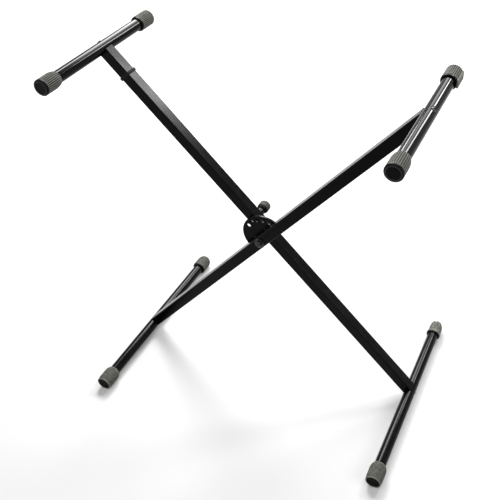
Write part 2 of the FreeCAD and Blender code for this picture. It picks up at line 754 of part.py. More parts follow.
def pivot_bolt():
    """A hexagon-head bolt from behind, through both legs and the disc."""
    head_end = PIVOT_HEAD_Y + PIVOT_HEAD_HEIGHT
    head = hexagon_along(Y_AXIS, PIVOT_HEXAGON, PIVOT_HEAD_Y, head_end)
    head = head.common(turned_back_corners(head_end, -1))
    tip = PIVOT_NUT_Y - PIVOT_NUT_HEIGHT - PIVOT_END_PROUD
    shank = turned([
        (0, tip),
        (PIVOT_RADIUS - PIVOT_END_CHAMFER, tip),
        (PIVOT_RADIUS, tip + PIVOT_END_CHAMFER),
        (PIVOT_RADIUS, PIVOT_HEAD_Y),
        (0, PIVOT_HEAD_Y),
    ])
    return at_pivot(shank.fuse(head).removeSplitter())


def pivot_washer(start):
    return at_pivot(ring(
        PIVOT_WASHER_DIAMETER / 2,
        PIVOT_RADIUS + SEAT_CLEARANCE,
        start,
        start + PIVOT_WASHER_THICKNESS,
    ))


def pivot_nut():
    """A locking nut at the front: a hexagon with a round nylon collar."""
    hexagon_face = PIVOT_NUT_Y - PIVOT_NUT_HEXAGON_HEIGHT
    hexagon = hexagon_along(Y_AXIS, PIVOT_HEXAGON, hexagon_face, PIVOT_NUT_Y)
    hexagon = hexagon.common(turned_back_corners(hexagon_face, 1))
    collar_radius = PIVOT_NUT_COLLAR_DIAMETER / 2
    face = PIVOT_NUT_Y - PIVOT_NUT_HEIGHT
    nylon_collar = turned([
        (0, face),
        (collar_radius - PIVOT_NUT_COLLAR_ROUND, face),
        front_rounding(collar_radius, face, PIVOT_NUT_COLLAR_ROUND),
        (collar_radius, PIVOT_NUT_Y),
        (0, PIVOT_NUT_Y),
    ])
    thread = rod(PIVOT_RADIUS + THREAD_CLEARANCE, face - CUT_MARGIN, PIVOT_NUT_Y + CUT_MARGIN)
    return at_pivot(hexagon.fuse(nylon_collar).removeSplitter().cut(thread))


def pivot_spacer():
    """A washer between the locking disc and the rear leg's bush."""
    return at_pivot(ring(
        SPACER_DIAMETER / 2,
        PIVOT_RADIUS + SEAT_CLEARANCE,
        DISC_BACK_Y,
        SPACER_BACK_Y,
    ))


def front_leg_sleeve():
    """Keeps the tightened bolt from crushing the front leg."""
    bore = PIVOT_RADIUS + SEAT_CLEARANCE
    return at_pivot(ring(
        bore + SLEEVE_WALL,
        bore,
        FRONT_FACE_Y + LEG_WALL,
        DISC_FRONT_Y - LEG_WALL,
    ))


def pivot_bushes():
    """Two flanged nylon bushes, one in each side of the rear leg."""
    flange = BUSH_FLANGE_DIAMETER / 2
    bushes = []
    for face, inward in ((REAR_LEG_FRONT_Y, 1), (REAR_LEG_BACK_Y, -1)):
        flange_face = face - inward * BUSH_FLANGE_THICKNESS
        inner_end = face + inward * BUSH_LENGTH
        bushes.append(turned([
            (BUSH_BORE_RADIUS, flange_face),
            (flange, flange_face),
            (flange, face),
            (BUSH_RADIUS, face),
            (BUSH_RADIUS, inner_end),
            (BUSH_BORE_RADIUS, inner_end),
        ]))
    return at_pivot(Part.makeCompound(bushes))


# ---------------------------------------------------------------- locking disc
def locking_disc():
    """A half disc with a hole for every angle that the stand can be set to."""
    disc = ring(
        DISC_DIAMETER / 2,
        PIVOT_RADIUS + BOLT_HOLE_CLEARANCE,
        DISC_FRONT_Y,
        DISC_BACK_Y,
    )
    holes = []
    for place in range(-DISC_HOLES_CLOSING, DISC_HOLES_OPENING + 1):
        angle = REAR_LEG_DIRECTION + DISC_HOLE_PITCH * place
        hole = rod(
            DISC_HOLE_DIAMETER / 2,
            DISC_FRONT_Y - CUT_MARGIN,
            DISC_BACK_Y + CUT_MARGIN,
            x=DISC_HOLE_CIRCLE,
        )
        holes.append(around_y(hole, -angle))
    below = Part.makeBox(
        DISC_DIAMETER,
        DISC_THICKNESS + 2 * CUT_MARGIN,
        DISC_DIAMETER / 2,
        Vector(-DISC_DIAMETER / 2, DISC_FRONT_Y - CUT_MARGIN, -DISC_DIAMETER / 2 - DISC_TAIL),
    )
    return at_pivot(disc.cut(holes + [around_y(below, -FRONT_LEG_DIRECTION)]))


def disc_welds():
    """Two short welds in the corner between the disc and the front leg's upper face."""
    room = Part.makeBox(
        WELD_SPACING + 2 * WELD_LENGTH,
        LEG_SIDE,
        LEG_SIDE,
        Vector(-WELD_SPACING / 2 - WELD_LENGTH, HALF_LEG - LEG_SIDE, 0),
    )
    leg = square_bar(HALF_LEG, LEG_CORNER, -WELD_SPACING, WELD_SPACING)
    straight = WELD_LENGTH - 2 * WELD_RADIUS
    beads = []
    for side in (-1, 1):
        corner = Vector(side * WELD_SPACING / 2 - straight / 2, HALF_LEG, HALF_LEG)
        bead = Part.makeCylinder(WELD_RADIUS, straight, corner, X_AXIS)
        ends = [
            Part.makeSphere(WELD_RADIUS, corner),
            Part.makeSphere(WELD_RADIUS, corner + Vector(straight, 0, 0)),
        ]
        beads.append(bead.fuse(ends).removeSplitter().common(room).cut(leg))
    return on_leg(Part.makeCompound(beads), *FRONT_LEG)


# ---------------------------------------------------------------- spring pin
def lock_pin():
    """Point, collar and pull rod in one turned piece."""
    collar_end = PIN_COLLAR_Y + PIN_COLLAR_LENGTH
    rod_end = KNOB_Y + KNOB_SOCKET_LENGTH
    collar_radius = PIN_COLLAR_DIAMETER / 2
    return at_lock(turned([
        (0, PIN_POINT_Y),
        (PIN_RADIUS - PIN_POINT, PIN_POINT_Y),
        (PIN_RADIUS, PIN_POINT_Y + PIN_POINT),
        (PIN_RADIUS, PIN_COLLAR_Y),
        (collar_radius, PIN_COLLAR_Y),
        (collar_radius, collar_end),
        (PIN_ROD_RADIUS, collar_end),
        (PIN_ROD_RADIUS, rod_end),
        (0, rod_end),
    ]))


def pin_housing():
    """A flanged barrel on the back of the rear leg that holds the spring."""
    base = REAR_LEG_BACK_Y
    flange_end = base + HOUSING_FLANGE_THICKNESS
    outer = HOUSING_DIAMETER / 2
    return at_lock(turned([
        (PIN_ROOM_RADIUS, base),
        (HOUSING_FLANGE_DIAMETER / 2, base),
        (HOUSING_FLANGE_DIAMETER / 2, flange_end),
        (outer, flange_end),
        (outer, HOUSING_END_Y - HOUSING_CHAMFER),
        (outer - HOUSING_CHAMFER, HOUSING_END_Y),
        (PIN_ROD_RADIUS + PIN_CLEARANCE, HOUSING_END_Y),
        (PIN_ROD_RADIUS + PIN_CLEARANCE, HOUSING_END_Y - HOUSING_END_WALL),
        (PIN_ROOM_RADIUS, HOUSING_END_Y - HOUSING_END_WALL),
    ]))


def lock_knob():
    """A ribbed pull knob with a bevelled front face, on the end of the rod."""
    radius = KNOB_DIAMETER / 2
    face = KNOB_Y
    end = face + KNOB_LENGTH
    bevel_end = face + KNOB_BEVEL_LENGTH
    grip_start = bevel_end + 2 * KNOB_GROOVE
    socket_end = face + KNOB_SOCKET_LENGTH + RUNNING_GAP
    bore = PIN_ROD_RADIUS + SEAT_CLEARANCE
    grip_end = end - KNOB_END_ROUND
    knob = turned([
        (bore, face),
        (KNOB_BEVEL_FACE_DIAMETER / 2, face),
        (radius - KNOB_GROOVE, bevel_end),
        (radius - 2 * KNOB_GROOVE, bevel_end),
        (radius - 2 * KNOB_GROOVE, grip_start),
        (radius, grip_start),
        (radius, grip_end),
        rounding(radius, end, KNOB_END_ROUND),
        (0, end),
        (0, socket_end),
        (bore, socket_end),
    ])
    pitch_round = 2 * math.pi * radius / KNOB_RIBS
    groove_radius = pitch_round / 4
    groove_x = radius + groove_radius - KNOB_RIB_DEPTH
    groove = rod(groove_radius, grip_start + KNOB_GROOVE, grip_end, x=groove_x)
    return at_lock(knob.cut(spaced_round(groove, KNOB_RIBS)))


def spring_path():
    """The middle of the coil's wire as pairs of tangent arcs, two for each half turn."""
    radius = SPRING_DIAMETER / 2
    start = SPRING_FRONT_Y + SPRING_WIRE / 2 + RUNNING_GAP
    end = SPRING_BACK_Y - SPRING_WIRE / 2 - RUNNING_GAP
    spans = 2 * SPRING_TURNS
    rise = (end - start) / spans

    def station(i):
        turn = math.pi * i
        place = Vector(radius * math.cos(turn), start + rise * i, radius * math.sin(turn))
        heading = Vector(-radius * math.sin(turn), rise / math.pi, radius * math.cos(turn))
        return place, heading.normalize()

    edges = []
    for i in range(spans):
        from_place, from_heading = station(i)
        to_place, to_heading = station(i + 1)
        edges += biarc(from_place, from_heading, to_place, to_heading)
    return edges


def biarc(from_place, from_heading, to_place, to_heading):
    """Two arcs that leave and arrive along the headings and meet tangent half way."""
    across = to_place - from_place
    both = from_heading + to_heading
    a = 2 * (1 - from_heading.dot(to_heading))
    b = 2 * across.dot(both)
    c = -across.dot(across)
    reach = (-b + math.sqrt(b * b - 4 * a * c)) / (2 * a)
    first_corner = from_place + from_heading * reach
    second_corner = to_place - to_heading * reach
    meet = (first_corner + second_corner) * 0.5
    return [
        arc_in_corner(from_place, first_corner, meet),
        arc_in_corner(meet, second_corner, to_place),
    ]


def arc_in_corner(start, corner, end):
    """The arc that touches both sides of a corner, from start to end."""
    weight = (end - start).Length / 2 / (corner - start).Length
    middle = (start + corner * (2 * weight) + end) * (1 / (2 * (1 + weight)))
    return Part.Arc(start, middle, end).toShape()


def lock_spring():
    """A coil spring between the pin's collar and the housing's end wall."""
    edges = spring_path()
    path = Part.Wire(edges)
    first = edges[0]
    start = first.valueAt(first.FirstParameter)
    heading = first.tangentAt(first.FirstParameter)
    circle = Part.Wire(Part.makeCircle(SPRING_WIRE / 2, start, heading))
    coil = path.makePipeShell([circle], True, False)
    print("least gap in the spring: %.2f mm" % spring_gap(edges))
    return at_lock(coil)


def spring_gap(edges):
    """The least gap between turns, from points along the middle of the wire."""
    points = []
    for edge in edges:
        points += edge.discretize(SPRING_CHECK_POINTS)[:-1]
    per_turn = len(points) // SPRING_TURNS
    least = min(
        points[i].distanceToPoint(points[j])
        for i in range(len(points))
        for j in range(i + per_turn // 2, len(points))
    )
    return least - SPRING_WIRE


# ---------------------------------------------------------------- all the pieces
def bolted_end(name, leg_end):
    return {
        name + "_bolt": tube_bolt(leg_end),
        name + "_washer": tube_washer(leg_end),
        name + "_nut_block": nut_block(leg_end),
    }


def top_bar(name, leg_end, far_cap):
    pieces = {
        name: round_tube(leg_end),
        name + "_near_cap": near_bar_cap(leg_end),
        name + "_near_plug": near_bar_plug(leg_end),
        name + "_far_cap": far_cap(leg_end),
        name + "_far_collar": far_bar_collar(leg_end),
    }
    pieces.update(bolted_end(name, leg_end))
    return pieces


def foot(name, leg_end, far_cap_name, far_cap, far_collar):
    pieces = {
        name + "_tube": round_tube(leg_end),
        name + "_near_cap": near_foot_cap(leg_end),
        far_cap_name: far_cap(leg_end),
        name + "_far_collar": far_collar(leg_end),
    }
    pieces.update(bolted_end(name, leg_end))
    return pieces


def all_pieces():
    pieces = {
        "front_leg_tube": front_leg_tube(),
        "rear_leg_tube": rear_leg_tube(),
        "rear_leg_band": rear_leg_band(),
        "front_leg_sleeve": front_leg_sleeve(),
        "pivot_bolt": pivot_bolt(),
        "pivot_front_washer": pivot_washer(FRONT_FACE_Y - PIVOT_WASHER_THICKNESS),
        "pivot_rear_washer": pivot_washer(REAR_WASHER_Y),
        "pivot_nut": pivot_nut(),
        "pivot_spacer": pivot_spacer(),
        "pivot_bushes": pivot_bushes(),
        "locking_disc": locking_disc(),
        "disc_welds": disc_welds(),
        "lock_pin": lock_pin(),
        "lock_knob": lock_knob(),
        "lock_spring": lock_spring(),
        "pin_housing": pin_housing(),
    }
    pieces.update(top_bar("right_top_bar", RIGHT_BAR, far_bar_cap_with_lip))
    pieces.update(top_bar("left_top_bar", LEFT_BAR, far_bar_cap))
    pieces.update(foot(
        "left_foot", LEFT_FOOT, "left_foot_far_cap", far_foot_cap, left_foot_collar))
    pieces.update(foot(
        "right_foot", RIGHT_FOOT, "levelling_cap", levelling_cap, right_foot_collar))
    return pieces


def main():
    os.makedirs("parts", exist_ok=True)
    for name, shape in all_pieces().items():
        if not shape.isValid() or not shape.Solids:
            raise ValueError(name + " isn't a sound solid")
        shape.exportStep("parts/" + name + ".step")
        print("%-24s %2d solid(s) %10.1f mm3" % (name, len(shape.Solids), shape.Volume))


main()
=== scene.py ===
"""Folding keyboard stand: finishes, caps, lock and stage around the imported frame.

Metres, in the frame's own axes: the floor is z = 0, X runs left to right, Y away from
the front and Z up. Each round piece is turned about an axis along Y."""
import json
import math
from typing import NamedTuple

import bmesh
import bpy
from bpy.props import FloatProperty, FloatVectorProperty, IntProperty, PointerProperty
from mathutils import Matrix, Vector


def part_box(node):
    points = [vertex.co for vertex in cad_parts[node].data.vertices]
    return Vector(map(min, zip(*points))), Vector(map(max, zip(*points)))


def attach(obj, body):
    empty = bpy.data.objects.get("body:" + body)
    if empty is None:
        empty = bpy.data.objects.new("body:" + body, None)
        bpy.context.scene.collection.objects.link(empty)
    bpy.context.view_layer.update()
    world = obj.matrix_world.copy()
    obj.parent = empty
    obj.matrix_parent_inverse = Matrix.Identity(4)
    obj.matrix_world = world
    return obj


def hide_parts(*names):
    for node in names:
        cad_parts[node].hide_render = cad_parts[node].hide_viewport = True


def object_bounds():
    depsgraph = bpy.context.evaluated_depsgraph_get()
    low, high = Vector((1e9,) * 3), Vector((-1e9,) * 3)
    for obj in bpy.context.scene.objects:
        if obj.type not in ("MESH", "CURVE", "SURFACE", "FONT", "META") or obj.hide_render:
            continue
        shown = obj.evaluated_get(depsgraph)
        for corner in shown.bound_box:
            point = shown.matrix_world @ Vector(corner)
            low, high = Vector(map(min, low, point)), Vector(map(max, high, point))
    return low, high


bl_info = {
    "name": "Folding Keyboard Stand",
    "version": (1, 0, 0),
    "blender": (4, 5, 0),
    "location": "3D View > Sidebar > Stand",
    "description": "Dresses the packed frame of a folding keyboard stand",
    "category": "Object",
}

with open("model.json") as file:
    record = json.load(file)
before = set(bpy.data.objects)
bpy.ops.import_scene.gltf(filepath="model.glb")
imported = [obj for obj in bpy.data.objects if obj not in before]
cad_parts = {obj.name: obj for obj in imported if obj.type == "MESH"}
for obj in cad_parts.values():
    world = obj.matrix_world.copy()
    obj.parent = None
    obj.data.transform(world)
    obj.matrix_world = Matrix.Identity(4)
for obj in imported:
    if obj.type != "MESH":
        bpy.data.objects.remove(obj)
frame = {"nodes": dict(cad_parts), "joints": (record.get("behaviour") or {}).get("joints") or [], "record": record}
CAD_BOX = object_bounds()
MM = 0.001
ON_AXIS = 1e-6                  # metres: a point nearer the axis than this is on it
NEARLY_STRAIGHT = 0.01          # radians: half a corner's turn that isn't rounded
SHARP_ANGLE = math.radians(40)  # an edge that turns further keeps its crease
FRONT_BODY = "front_leg"
REAR_BODY = "rear_leg"
PIN_BODY = "lock_pin"
LEVEL_BODY = "levelling_cap"


# ---------------------------------------------------------------- places read from the frame
def middle_of(node):
    low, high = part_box(node)
    return (low + high) / 2


def reach_of(node):
    """Half the width of a round node, square to its axis."""
    low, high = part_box(node)
    return (high.z - low.z) / 2


def span_of(node):
    """Where a node starts and ends along Y."""
    low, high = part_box(node)
    return low.y, high.y


FOLD = next(joint for joint in frame["joints"] if joint["name"] == "fold")
PIVOT = Vector(FOLD["pos_m"])
TUBE_RADIUS = reach_of("right_top_bar")


def direction_of(tube):
    """The angle above the floor, from the pivot to the axis of a round tube."""
    across = middle_of(tube) - PIVOT
    return math.atan2(across.z, across.x)


# ---------------------------------------------------------------- settings
def length_setting(name, description, default):
    return FloatProperty(
        name=name, description=description, default=default, min=0.0, precision=5,
        unit="LENGTH", subtype="DISTANCE",
    )


def colour_setting(name, description, default):
    return FloatVectorProperty(
        name=name, description=description, default=default, size=3, min=0.0, max=1.0,
        subtype="COLOR",
    )


class StandSizes(bpy.types.PropertyGroup):
    """Sizes of the pieces that are made here."""
    flutes: IntProperty(
        name="Flutes", description="Flutes round each fluted cap", default=28, min=8)
    flute_depth: length_setting("Flute depth", "Depth of a cap's flutes", 1.2 * MM)
    flute_end: length_setting("Flute end", "Plain ring at the ends of a cap", 1.2 * MM)
    shoulder: length_setting("Shoulder", "Length of a near cap's drawn-in end", 15 * MM)
    thin_lip: length_setting("Thin lip", "Rubber round the tube at a thin end", 1.6 * MM)
    end_wall: length_setting("End wall", "Rubber across a closed end", 3 * MM)
    edge_round: length_setting("Edge rounding", "Rounding of moulded edges", 0.7 * MM)
    far_round: length_setting("Far rounding", "Rounding of a far cap's end", 4 * MM)
    lip_width: length_setting("Lip width", "Width of the flat lip", 17 * MM)
    lip_thickness: length_setting("Lip thickness", "Thickness of the flat lip", 3.2 * MM)
    knurl_pitch: length_setting("Knurl pitch", "Width of one diamond", 2.7 * MM)
    knurl_depth: length_setting("Knurl depth", "Depth of the knurl's grooves", 0.55 * MM)
    plug_round: length_setting("Plug rounding", "Rounding of a plug's rim", 3.2 * MM)
    plug_rim: length_setting("Plug rim", "Flat rim round a plug's dish", 1.2 * MM)
    plug_dish: length_setting("Plug dish", "Depth of a plug's dish", 1.6 * MM)
    # The collar's black is painted shade at a far cap's mouth.
    collar_round: length_setting("Collar rounding", "Rounding of a black collar", 1.8 * MM)
    metal_round: length_setting("Metal rounding", "Broken edges of metal", 0.4 * MM)
    disc_hole: length_setting("Disc hole", "Radius of the locking holes", 4.6 * MM)
    disc_tail: length_setting("Disc tail", "Straight edge, below the leg's axis", 11 * MM)
    disc_pitch: FloatProperty(
        name="Disc pitch", description="From one locking hole to the next",
        default=math.radians(20.0), subtype="ANGLE")
    leg_corner: length_setting("Leg corner", "Corner radius of a square leg", 2.5 * MM)
    knob_ribs: IntProperty(
        name="Knob ribs", description="Ribs round the pull knob", default=18, min=6)
    segments: IntProperty(
        name="Segments", description="Steps round a plain turned piece", default=96, min=24)


class StandColours(bpy.types.PropertyGroup):
    """Base colours of the finishes."""
    leg_black: colour_setting("Legs", "Satin powder coat", (0.001, 0.0012, 0.0012))
    bar_black: colour_setting("Bars", "Gloss enamel", (0.001, 0.001, 0.0012))
    fluted_grey: colour_setting("Fluted rubber", "Ribs of the top caps", (0.115, 0.115, 0.102))
    # Painted shade, with some dirt: the colour between the ribs of the fluted caps.
    fluted_shade_and_dirt: colour_setting("Flutes", "Between the ribs", (0.009, 0.009, 0.008))
    knurled_grey: colour_setting("Knurled rubber", "Foot caps", (0.112, 0.112, 0.097))
    level_grey: colour_setting("Levelling rubber", "Levelling cap", (0.15, 0.15, 0.13))
    # Painted shade, with some dirt: the colour between the diamonds and in a near foot cap's recess.
    knurled_shade_and_dirt: colour_setting("Knurl grooves", "Between the diamonds", (0.004, 0.004, 0.0035))
    plastic: colour_setting("Plastic", "Plugs and collars", (0.001, 0.001, 0.001))
    # Painted highlight: the lighter colour on the plugs' rims.
    rim_highlight: colour_setting("Painted rim highlight", "Rims of the plugs", (0.035, 0.035, 0.034))
    knob: colour_setting("Knob", "Ribs of the pull knob", (0.04, 0.04, 0.037))
    rubber: colour_setting("Band", "Black rubber", (0.008, 0.008, 0.008))
    zinc: colour_setting("Zinc", "Bright plated steel", (0.72, 0.71, 0.67))
    dark_steel: colour_setting("Dark steel", "Dull plated steel", (0.05, 0.05, 0.05))
    nylon: colour_setting("Nylon", "Bushes", (0.72, 0.70, 0.63))
    floor: colour_setting("Floor", "Studio floor", (0.48, 0.48, 0.48))


class StandStage(bpy.types.PropertyGroup):
    """Camera and light."""
    camera_place: FloatVectorProperty(
        name="Camera", description="Where the camera stands", size=3,
        default=(0.6149, -1.0757, 1.4035), unit="LENGTH", subtype="TRANSLATION")
    azimuth: FloatProperty(
        name="Azimuth", description="Camera's turn about the vertical",
        default=math.radians(25.14), subtype="ANGLE")
    elevation: FloatProperty(
        name="Elevation", description="How far the camera looks down",
        default=math.radians(37.74), subtype="ANGLE")
    roll: FloatProperty(
        name="Roll", description="Camera's tilt in its own view",
        default=math.radians(-2.34), subtype="ANGLE")
    lens: FloatProperty(
        name="Lens", description="Focal length", default=52.0, min=10.0, unit="CAMERA")
    shift_x: FloatProperty(name="Shift X", description="Framing, sideways", default=-0.12)
    shift_y: FloatProperty(name="Shift Y", description="Framing, upwards", default=-0.066)
    world_light: FloatProperty(
        name="World light", description="Light from all round", default=0.25, min=0.0)
    key_watts: FloatProperty(
        name="Key light", description="Soft light behind, above and to the left",
        default=95.0, min=0.0)
    back_watts: FloatProperty(
        name="Back light", description="Soft light behind and above", default=20.0, min=0.0)
    side_watts: FloatProperty(
        name="Side light", description="Soft light behind and to the right", default=30.0,
        min=0.0)
    front_watts: FloatProperty(
        name="Front light", description="Broad soft light above the front", default=25.0,
        min=0.0)
    fill_watts: FloatProperty(
        name="Fill light", description="Soft light from the right", default=16.0, min=0.0)


# ---------------------------------------------------------------- mesh helpers
def corner_arc(before, corner, after, size, steps):
    """Points of a rounding at one corner of an outline."""
    to_before = (before - corner).normalized()
    to_after = (after - corner).normalized()
    half = to_before.angle(to_after) / 2
    if size <= 0 or half > math.pi / 2 - NEARLY_STRAIGHT:
        return [corner]
    back = size / math.tan(half)
    centre = corner + (to_before + to_after).normalized() * (size / math.sin(half))
    start = corner + to_before * back - centre
    end = corner + to_after * back - centre
    sweep = start.angle_signed(end)
    points = []
    for i in range(steps + 1):
        turn = -sweep * i / steps
        c, s = math.cos(turn), math.sin(turn)
        points.append(centre + Vector((start.x * c - start.y * s, start.x * s + start.y * c)))
    return points


def smooth_outline(corners, steps=5):
    """An outline of (radius, y, rounding) corners as a list of points.
    Its first and last corners stay as they are."""
    flat = [Vector(corner[:2]) for corner in corners]
    points = [flat[0]]
    for i in range(1, len(flat) - 1):
        points += corner_arc(flat[i - 1], flat[i], flat[i + 1], corners[i][2], steps)
    return points + [flat[-1]]


def drawn_in(from_radius, from_y, to_radius, to_y, steps=10):
    """Corners along an arc that leaves the first point along Y and draws in."""
    drop = from_radius - to_radius
    length = abs(to_y - from_y)
    arc_radius = (drop * drop + length * length) / (2 * drop)
    whole = math.asin(length / arc_radius)
    side = 1 if to_y > from_y else -1
    corners = []
    for i in range(steps + 1):
        turn = whole * i / steps
        radius = from_radius - arc_radius * (1 - math.cos(turn))
        corners.append((radius, from_y + side * arc_radius * math.sin(turn), 0.0))
    return corners


def divided(points, step):
    """The same outline with no piece longer than step."""
    result = [points[0]]
    for start, end in zip(points, points[1:]):
        count = max(1, math.ceil((end - start).length / step))
        result += [start.lerp(end, i / count) for i in range(1, count + 1)]
    return result


def no_relief(angle, y):
    return 0.0


def lathe(
    name, points, centre, segments, relief=no_relief, depth=0.0, share=None, tone=None
):
    """Turn an outline about the Y axis through centre.

    points run from one end of the outline to the other; where an end isn't on the
    axis, the outline closes on itself. relief gives how deep the surface is cut, from
    0 to 1, and share how much of it each point of the outline takes. tone gives how
    dark the surface is where that isn't the relief itself."""
    mesh = bmesh.new()
    layer = mesh.verts.layers.float.new("relief")
    rows = []
    for point in points:
        if point.x < ON_AXIS:
            row = [mesh.verts.new((centre.x, point.y, centre.z))] * segments
        else:
            row = []
            for k in range(segments):
                angle = 2 * math.pi * k / segments
                cut = share(point) * relief(angle, point.y) if share else 0.0
                radius = point.x - depth * cut
                vert = mesh.verts.new((
                    centre.x + radius * math.cos(angle),
                    point.y,
                    centre.z + radius * math.sin(angle),
                ))
                # The finish darkens the colour as this rises: painted shade, with some dirt, in grooves and
                # recesses; on a plug's rim a low value gives a painted highlight.
                vert[layer] = tone(angle, point) if tone else cut
                row.append(vert)
        rows.append(row)
    if points[0].x > ON_AXIS:
        rows.append(rows[0])
    for low, high in zip(rows, rows[1:]):
        for k in range(segments):
            around = (k + 1) % segments
            corners = list(dict.fromkeys((low[k], low[around], high[around], high[k])))
            if len(corners) > 2:
                mesh.faces.new(corners)
    return finished_mesh(name, mesh)


def crease(mesh):
    """Shade a mesh smooth except at its sharp edges."""
    for face in mesh.faces:
        face.smooth = True
    for edge in mesh.edges:
        edge.smooth = edge.calc_face_angle(0.0) < SHARP_ANGLE


def finished_mesh(name, mesh):
    """Make an object of a mesh, with its normals outwards."""
    bmesh.ops.recalc_face_normals(mesh, faces=mesh.faces)
    crease(mesh)
    data = bpy.data.meshes.new(name)
    mesh.to_mesh(data)
    mesh.free()
    piece = bpy.data.objects.new(name, data)
    bpy.context.scene.collection.objects.link(piece)
    return piece


def apply_modifiers(piece):
    """Make a piece's modifiers part of its mesh."""
    graph = bpy.context.evaluated_depsgraph_get()
    data = bpy.data.meshes.new_from_object(piece.evaluated_get(graph))
    piece.modifiers.clear()
    piece.data = data


def combine(piece, other, operation):
    """Join, or cut with, another piece, which is then used up."""
    boolean = piece.modifiers.new("Combine", "BOOLEAN")
    boolean.operation = operation
    boolean.solver = "MANIFOLD"
    boolean.object = other
    apply_modifiers(piece)
    bpy.data.objects.remove(other)


def shade_flats(piece):
    """Mark the sharp edges that cuts have left, and keep flat faces looking flat."""
    mesh = bmesh.new()
    mesh.from_mesh(piece.data)
    crease(mesh)
    mesh.to_mesh(piece.data)
    mesh.free()
    weighted = piece.modifiers.new("Weighted normals", "WEIGHTED_NORMAL")
    weighted.keep_sharp = True
    apply_modifiers(piece)
    return piece


def soft_box(name, low, high, rounding, steps):
    """A box with rounded edges."""
    mesh = bmesh.new()
    bmesh.ops.create_cube(mesh, size=1.0)
    for vert in mesh.verts:
        for axis in range(3):
            vert.co[axis] = low[axis] if vert.co[axis] < 0 else high[axis]
    bmesh.ops.bevel(
        mesh, geom=list(mesh.edges), offset=rounding, segments=steps, profile=0.5,
        affect="EDGES",
    )
    return finished_mesh(name, mesh)


def add_piece(piece, material, body, slot, *nodes):
    """Give a piece its finish and body, in place of the nodes that it stands for."""
    piece.data.materials.clear()
    piece.data.materials.append(material)
    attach(piece, body)
    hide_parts(*nodes)
    return piece


# ---------------------------------------------------------------- shader groups
def new_group(name, inputs, outputs):
    """A shader node group with named values in and out."""
    group = bpy.data.node_groups.new(name, "ShaderNodeTree")
    for socket_name, kind, default in inputs:
        socket = group.interface.new_socket(socket_name, in_out="INPUT", socket_type=kind)
        socket.default_value = default
    for socket_name, kind in outputs:
        group.interface.new_socket(socket_name, in_out="OUTPUT", socket_type=kind)
    return group, group.nodes.new("NodeGroupInput"), group.nodes.new("NodeGroupOutput")


def math_node(tree, operation, first, second=None, clamp=False):
    """Join two sockets or numbers by an operation."""
    node = tree.nodes.new("ShaderNodeMath")
    node.operation = operation
    node.use_clamp = clamp
    for slot, value in enumerate((first, second)):
        if isinstance(value, bpy.types.NodeSocket):
            tree.links.new(value, node.inputs[slot])
        elif value is not None:
            node.inputs[slot].default_value = value
    return node.outputs["Value"]


def ramp_node(tree, value, low, high, to_low=0.0, to_high=1.0):
    """Run a value smoothly from one range to another."""
    node = tree.nodes.new("ShaderNodeMapRange")
    node.interpolation_type = "SMOOTHSTEP"
    node.inputs["From Min"].default_value = low
    node.inputs["From Max"].default_value = high
    node.inputs["To Min"].default_value = to_low
    node.inputs["To Max"].default_value = to_high
    tree.links.new(value, node.inputs["Value"])
    return node.outputs["Result"]


def noise_node(tree, vector, scale, detail, roughness=0.5):
    node = tree.nodes.new("ShaderNodeTexNoise")
    node.inputs["Detail"].default_value = detail
    node.inputs["Roughness"].default_value = roughness
    tree.links.new(vector, node.inputs["Vector"])
    if isinstance(scale, bpy.types.NodeSocket):
        tree.links.new(scale, node.inputs["Scale"])
    else:
        node.inputs["Scale"].default_value = scale
    return node.outputs["Fac"]


def mottle_group():
    """Broad and fine unevenness of a finish."""
    group, given, result = new_group(
        "Mottle",
        [
            ("Vector", "NodeSocketVector", (0, 0, 0)),
            ("Broad Scale", "NodeSocketFloat", 14.0),
            ("Fine Scale", "NodeSocketFloat", 900.0),
        ],
        [("Broad", "NodeSocketFloat"), ("Fine", "NodeSocketFloat")],
    )
    vector = given.outputs["Vector"]
    broad = noise_node(group, vector, given.outputs["Broad Scale"], detail=3.0)
    fine = noise_node(group, vector, given.outputs["Fine Scale"], detail=2.0)
    group.links.new(ramp_node(group, broad, low=0.3, high=0.7), result.inputs["Broad"])
    group.links.new(fine, result.inputs["Fine"])
    return group


def scratch_group():
    """Fine scratches, drawn out along one axis of the vector."""
    group, given, result = new_group(
        "Scratches",
        [
            ("Vector", "NodeSocketVector", (0, 0, 0)),
            ("Scale", "NodeSocketFloat", 60.0),
            ("Amount", "NodeSocketFloat", 0.3),
        ],
        [("Mask", "NodeSocketFloat")],
    )
    vector = given.outputs["Vector"]
    lines = noise_node(group, vector, given.outputs["Scale"], detail=4.0, roughness=0.7)
    off_middle = math_node(group, "ABSOLUTE", math_node(group, "SUBTRACT", lines, 0.5))
    thin = ramp_node(group, off_middle, low=0.006, high=0.0)
    patches = noise_node(group, vector, scale=9.0, detail=1.0)
    worn = ramp_node(group, patches, low=0.45, high=0.7)
    both = math_node(group, "MULTIPLY", thin, worn)
    mask = math_node(group, "MULTIPLY", both, given.outputs["Amount"], clamp=True)
    group.links.new(mask, result.inputs["Mask"])
    return group


def dust_group():
    """A thin dust on faces that look up, broken up by noise."""
    group, given, result = new_group(
        "Dust",
        [("Vector", "NodeSocketVector", (0, 0, 0)), ("Amount", "NodeSocketFloat", 0.1)],
        [("Mask", "NodeSocketFloat")],
    )
    geometry = group.nodes.new("ShaderNodeNewGeometry")
    split = group.nodes.new("ShaderNodeSeparateXYZ")
    group.links.new(geometry.outputs["Normal"], split.inputs["Vector"])
    upward = ramp_node(group, split.outputs["Z"], low=0.2, high=1.0)
    patches = noise_node(
        group, given.outputs["Vector"], scale=45.0, detail=5.0, roughness=0.65)
    broken = ramp_node(group, patches, low=0.35, high=0.75)
    both = math_node(group, "MULTIPLY", upward, broken)
    mask = math_node(group, "MULTIPLY", both, given.outputs["Amount"], clamp=True)
    group.links.new(mask, result.inputs["Mask"])
    return group


GROUP_MAKERS = {"Mottle": mottle_group, "Scratches": scratch_group, "Dust": dust_group}


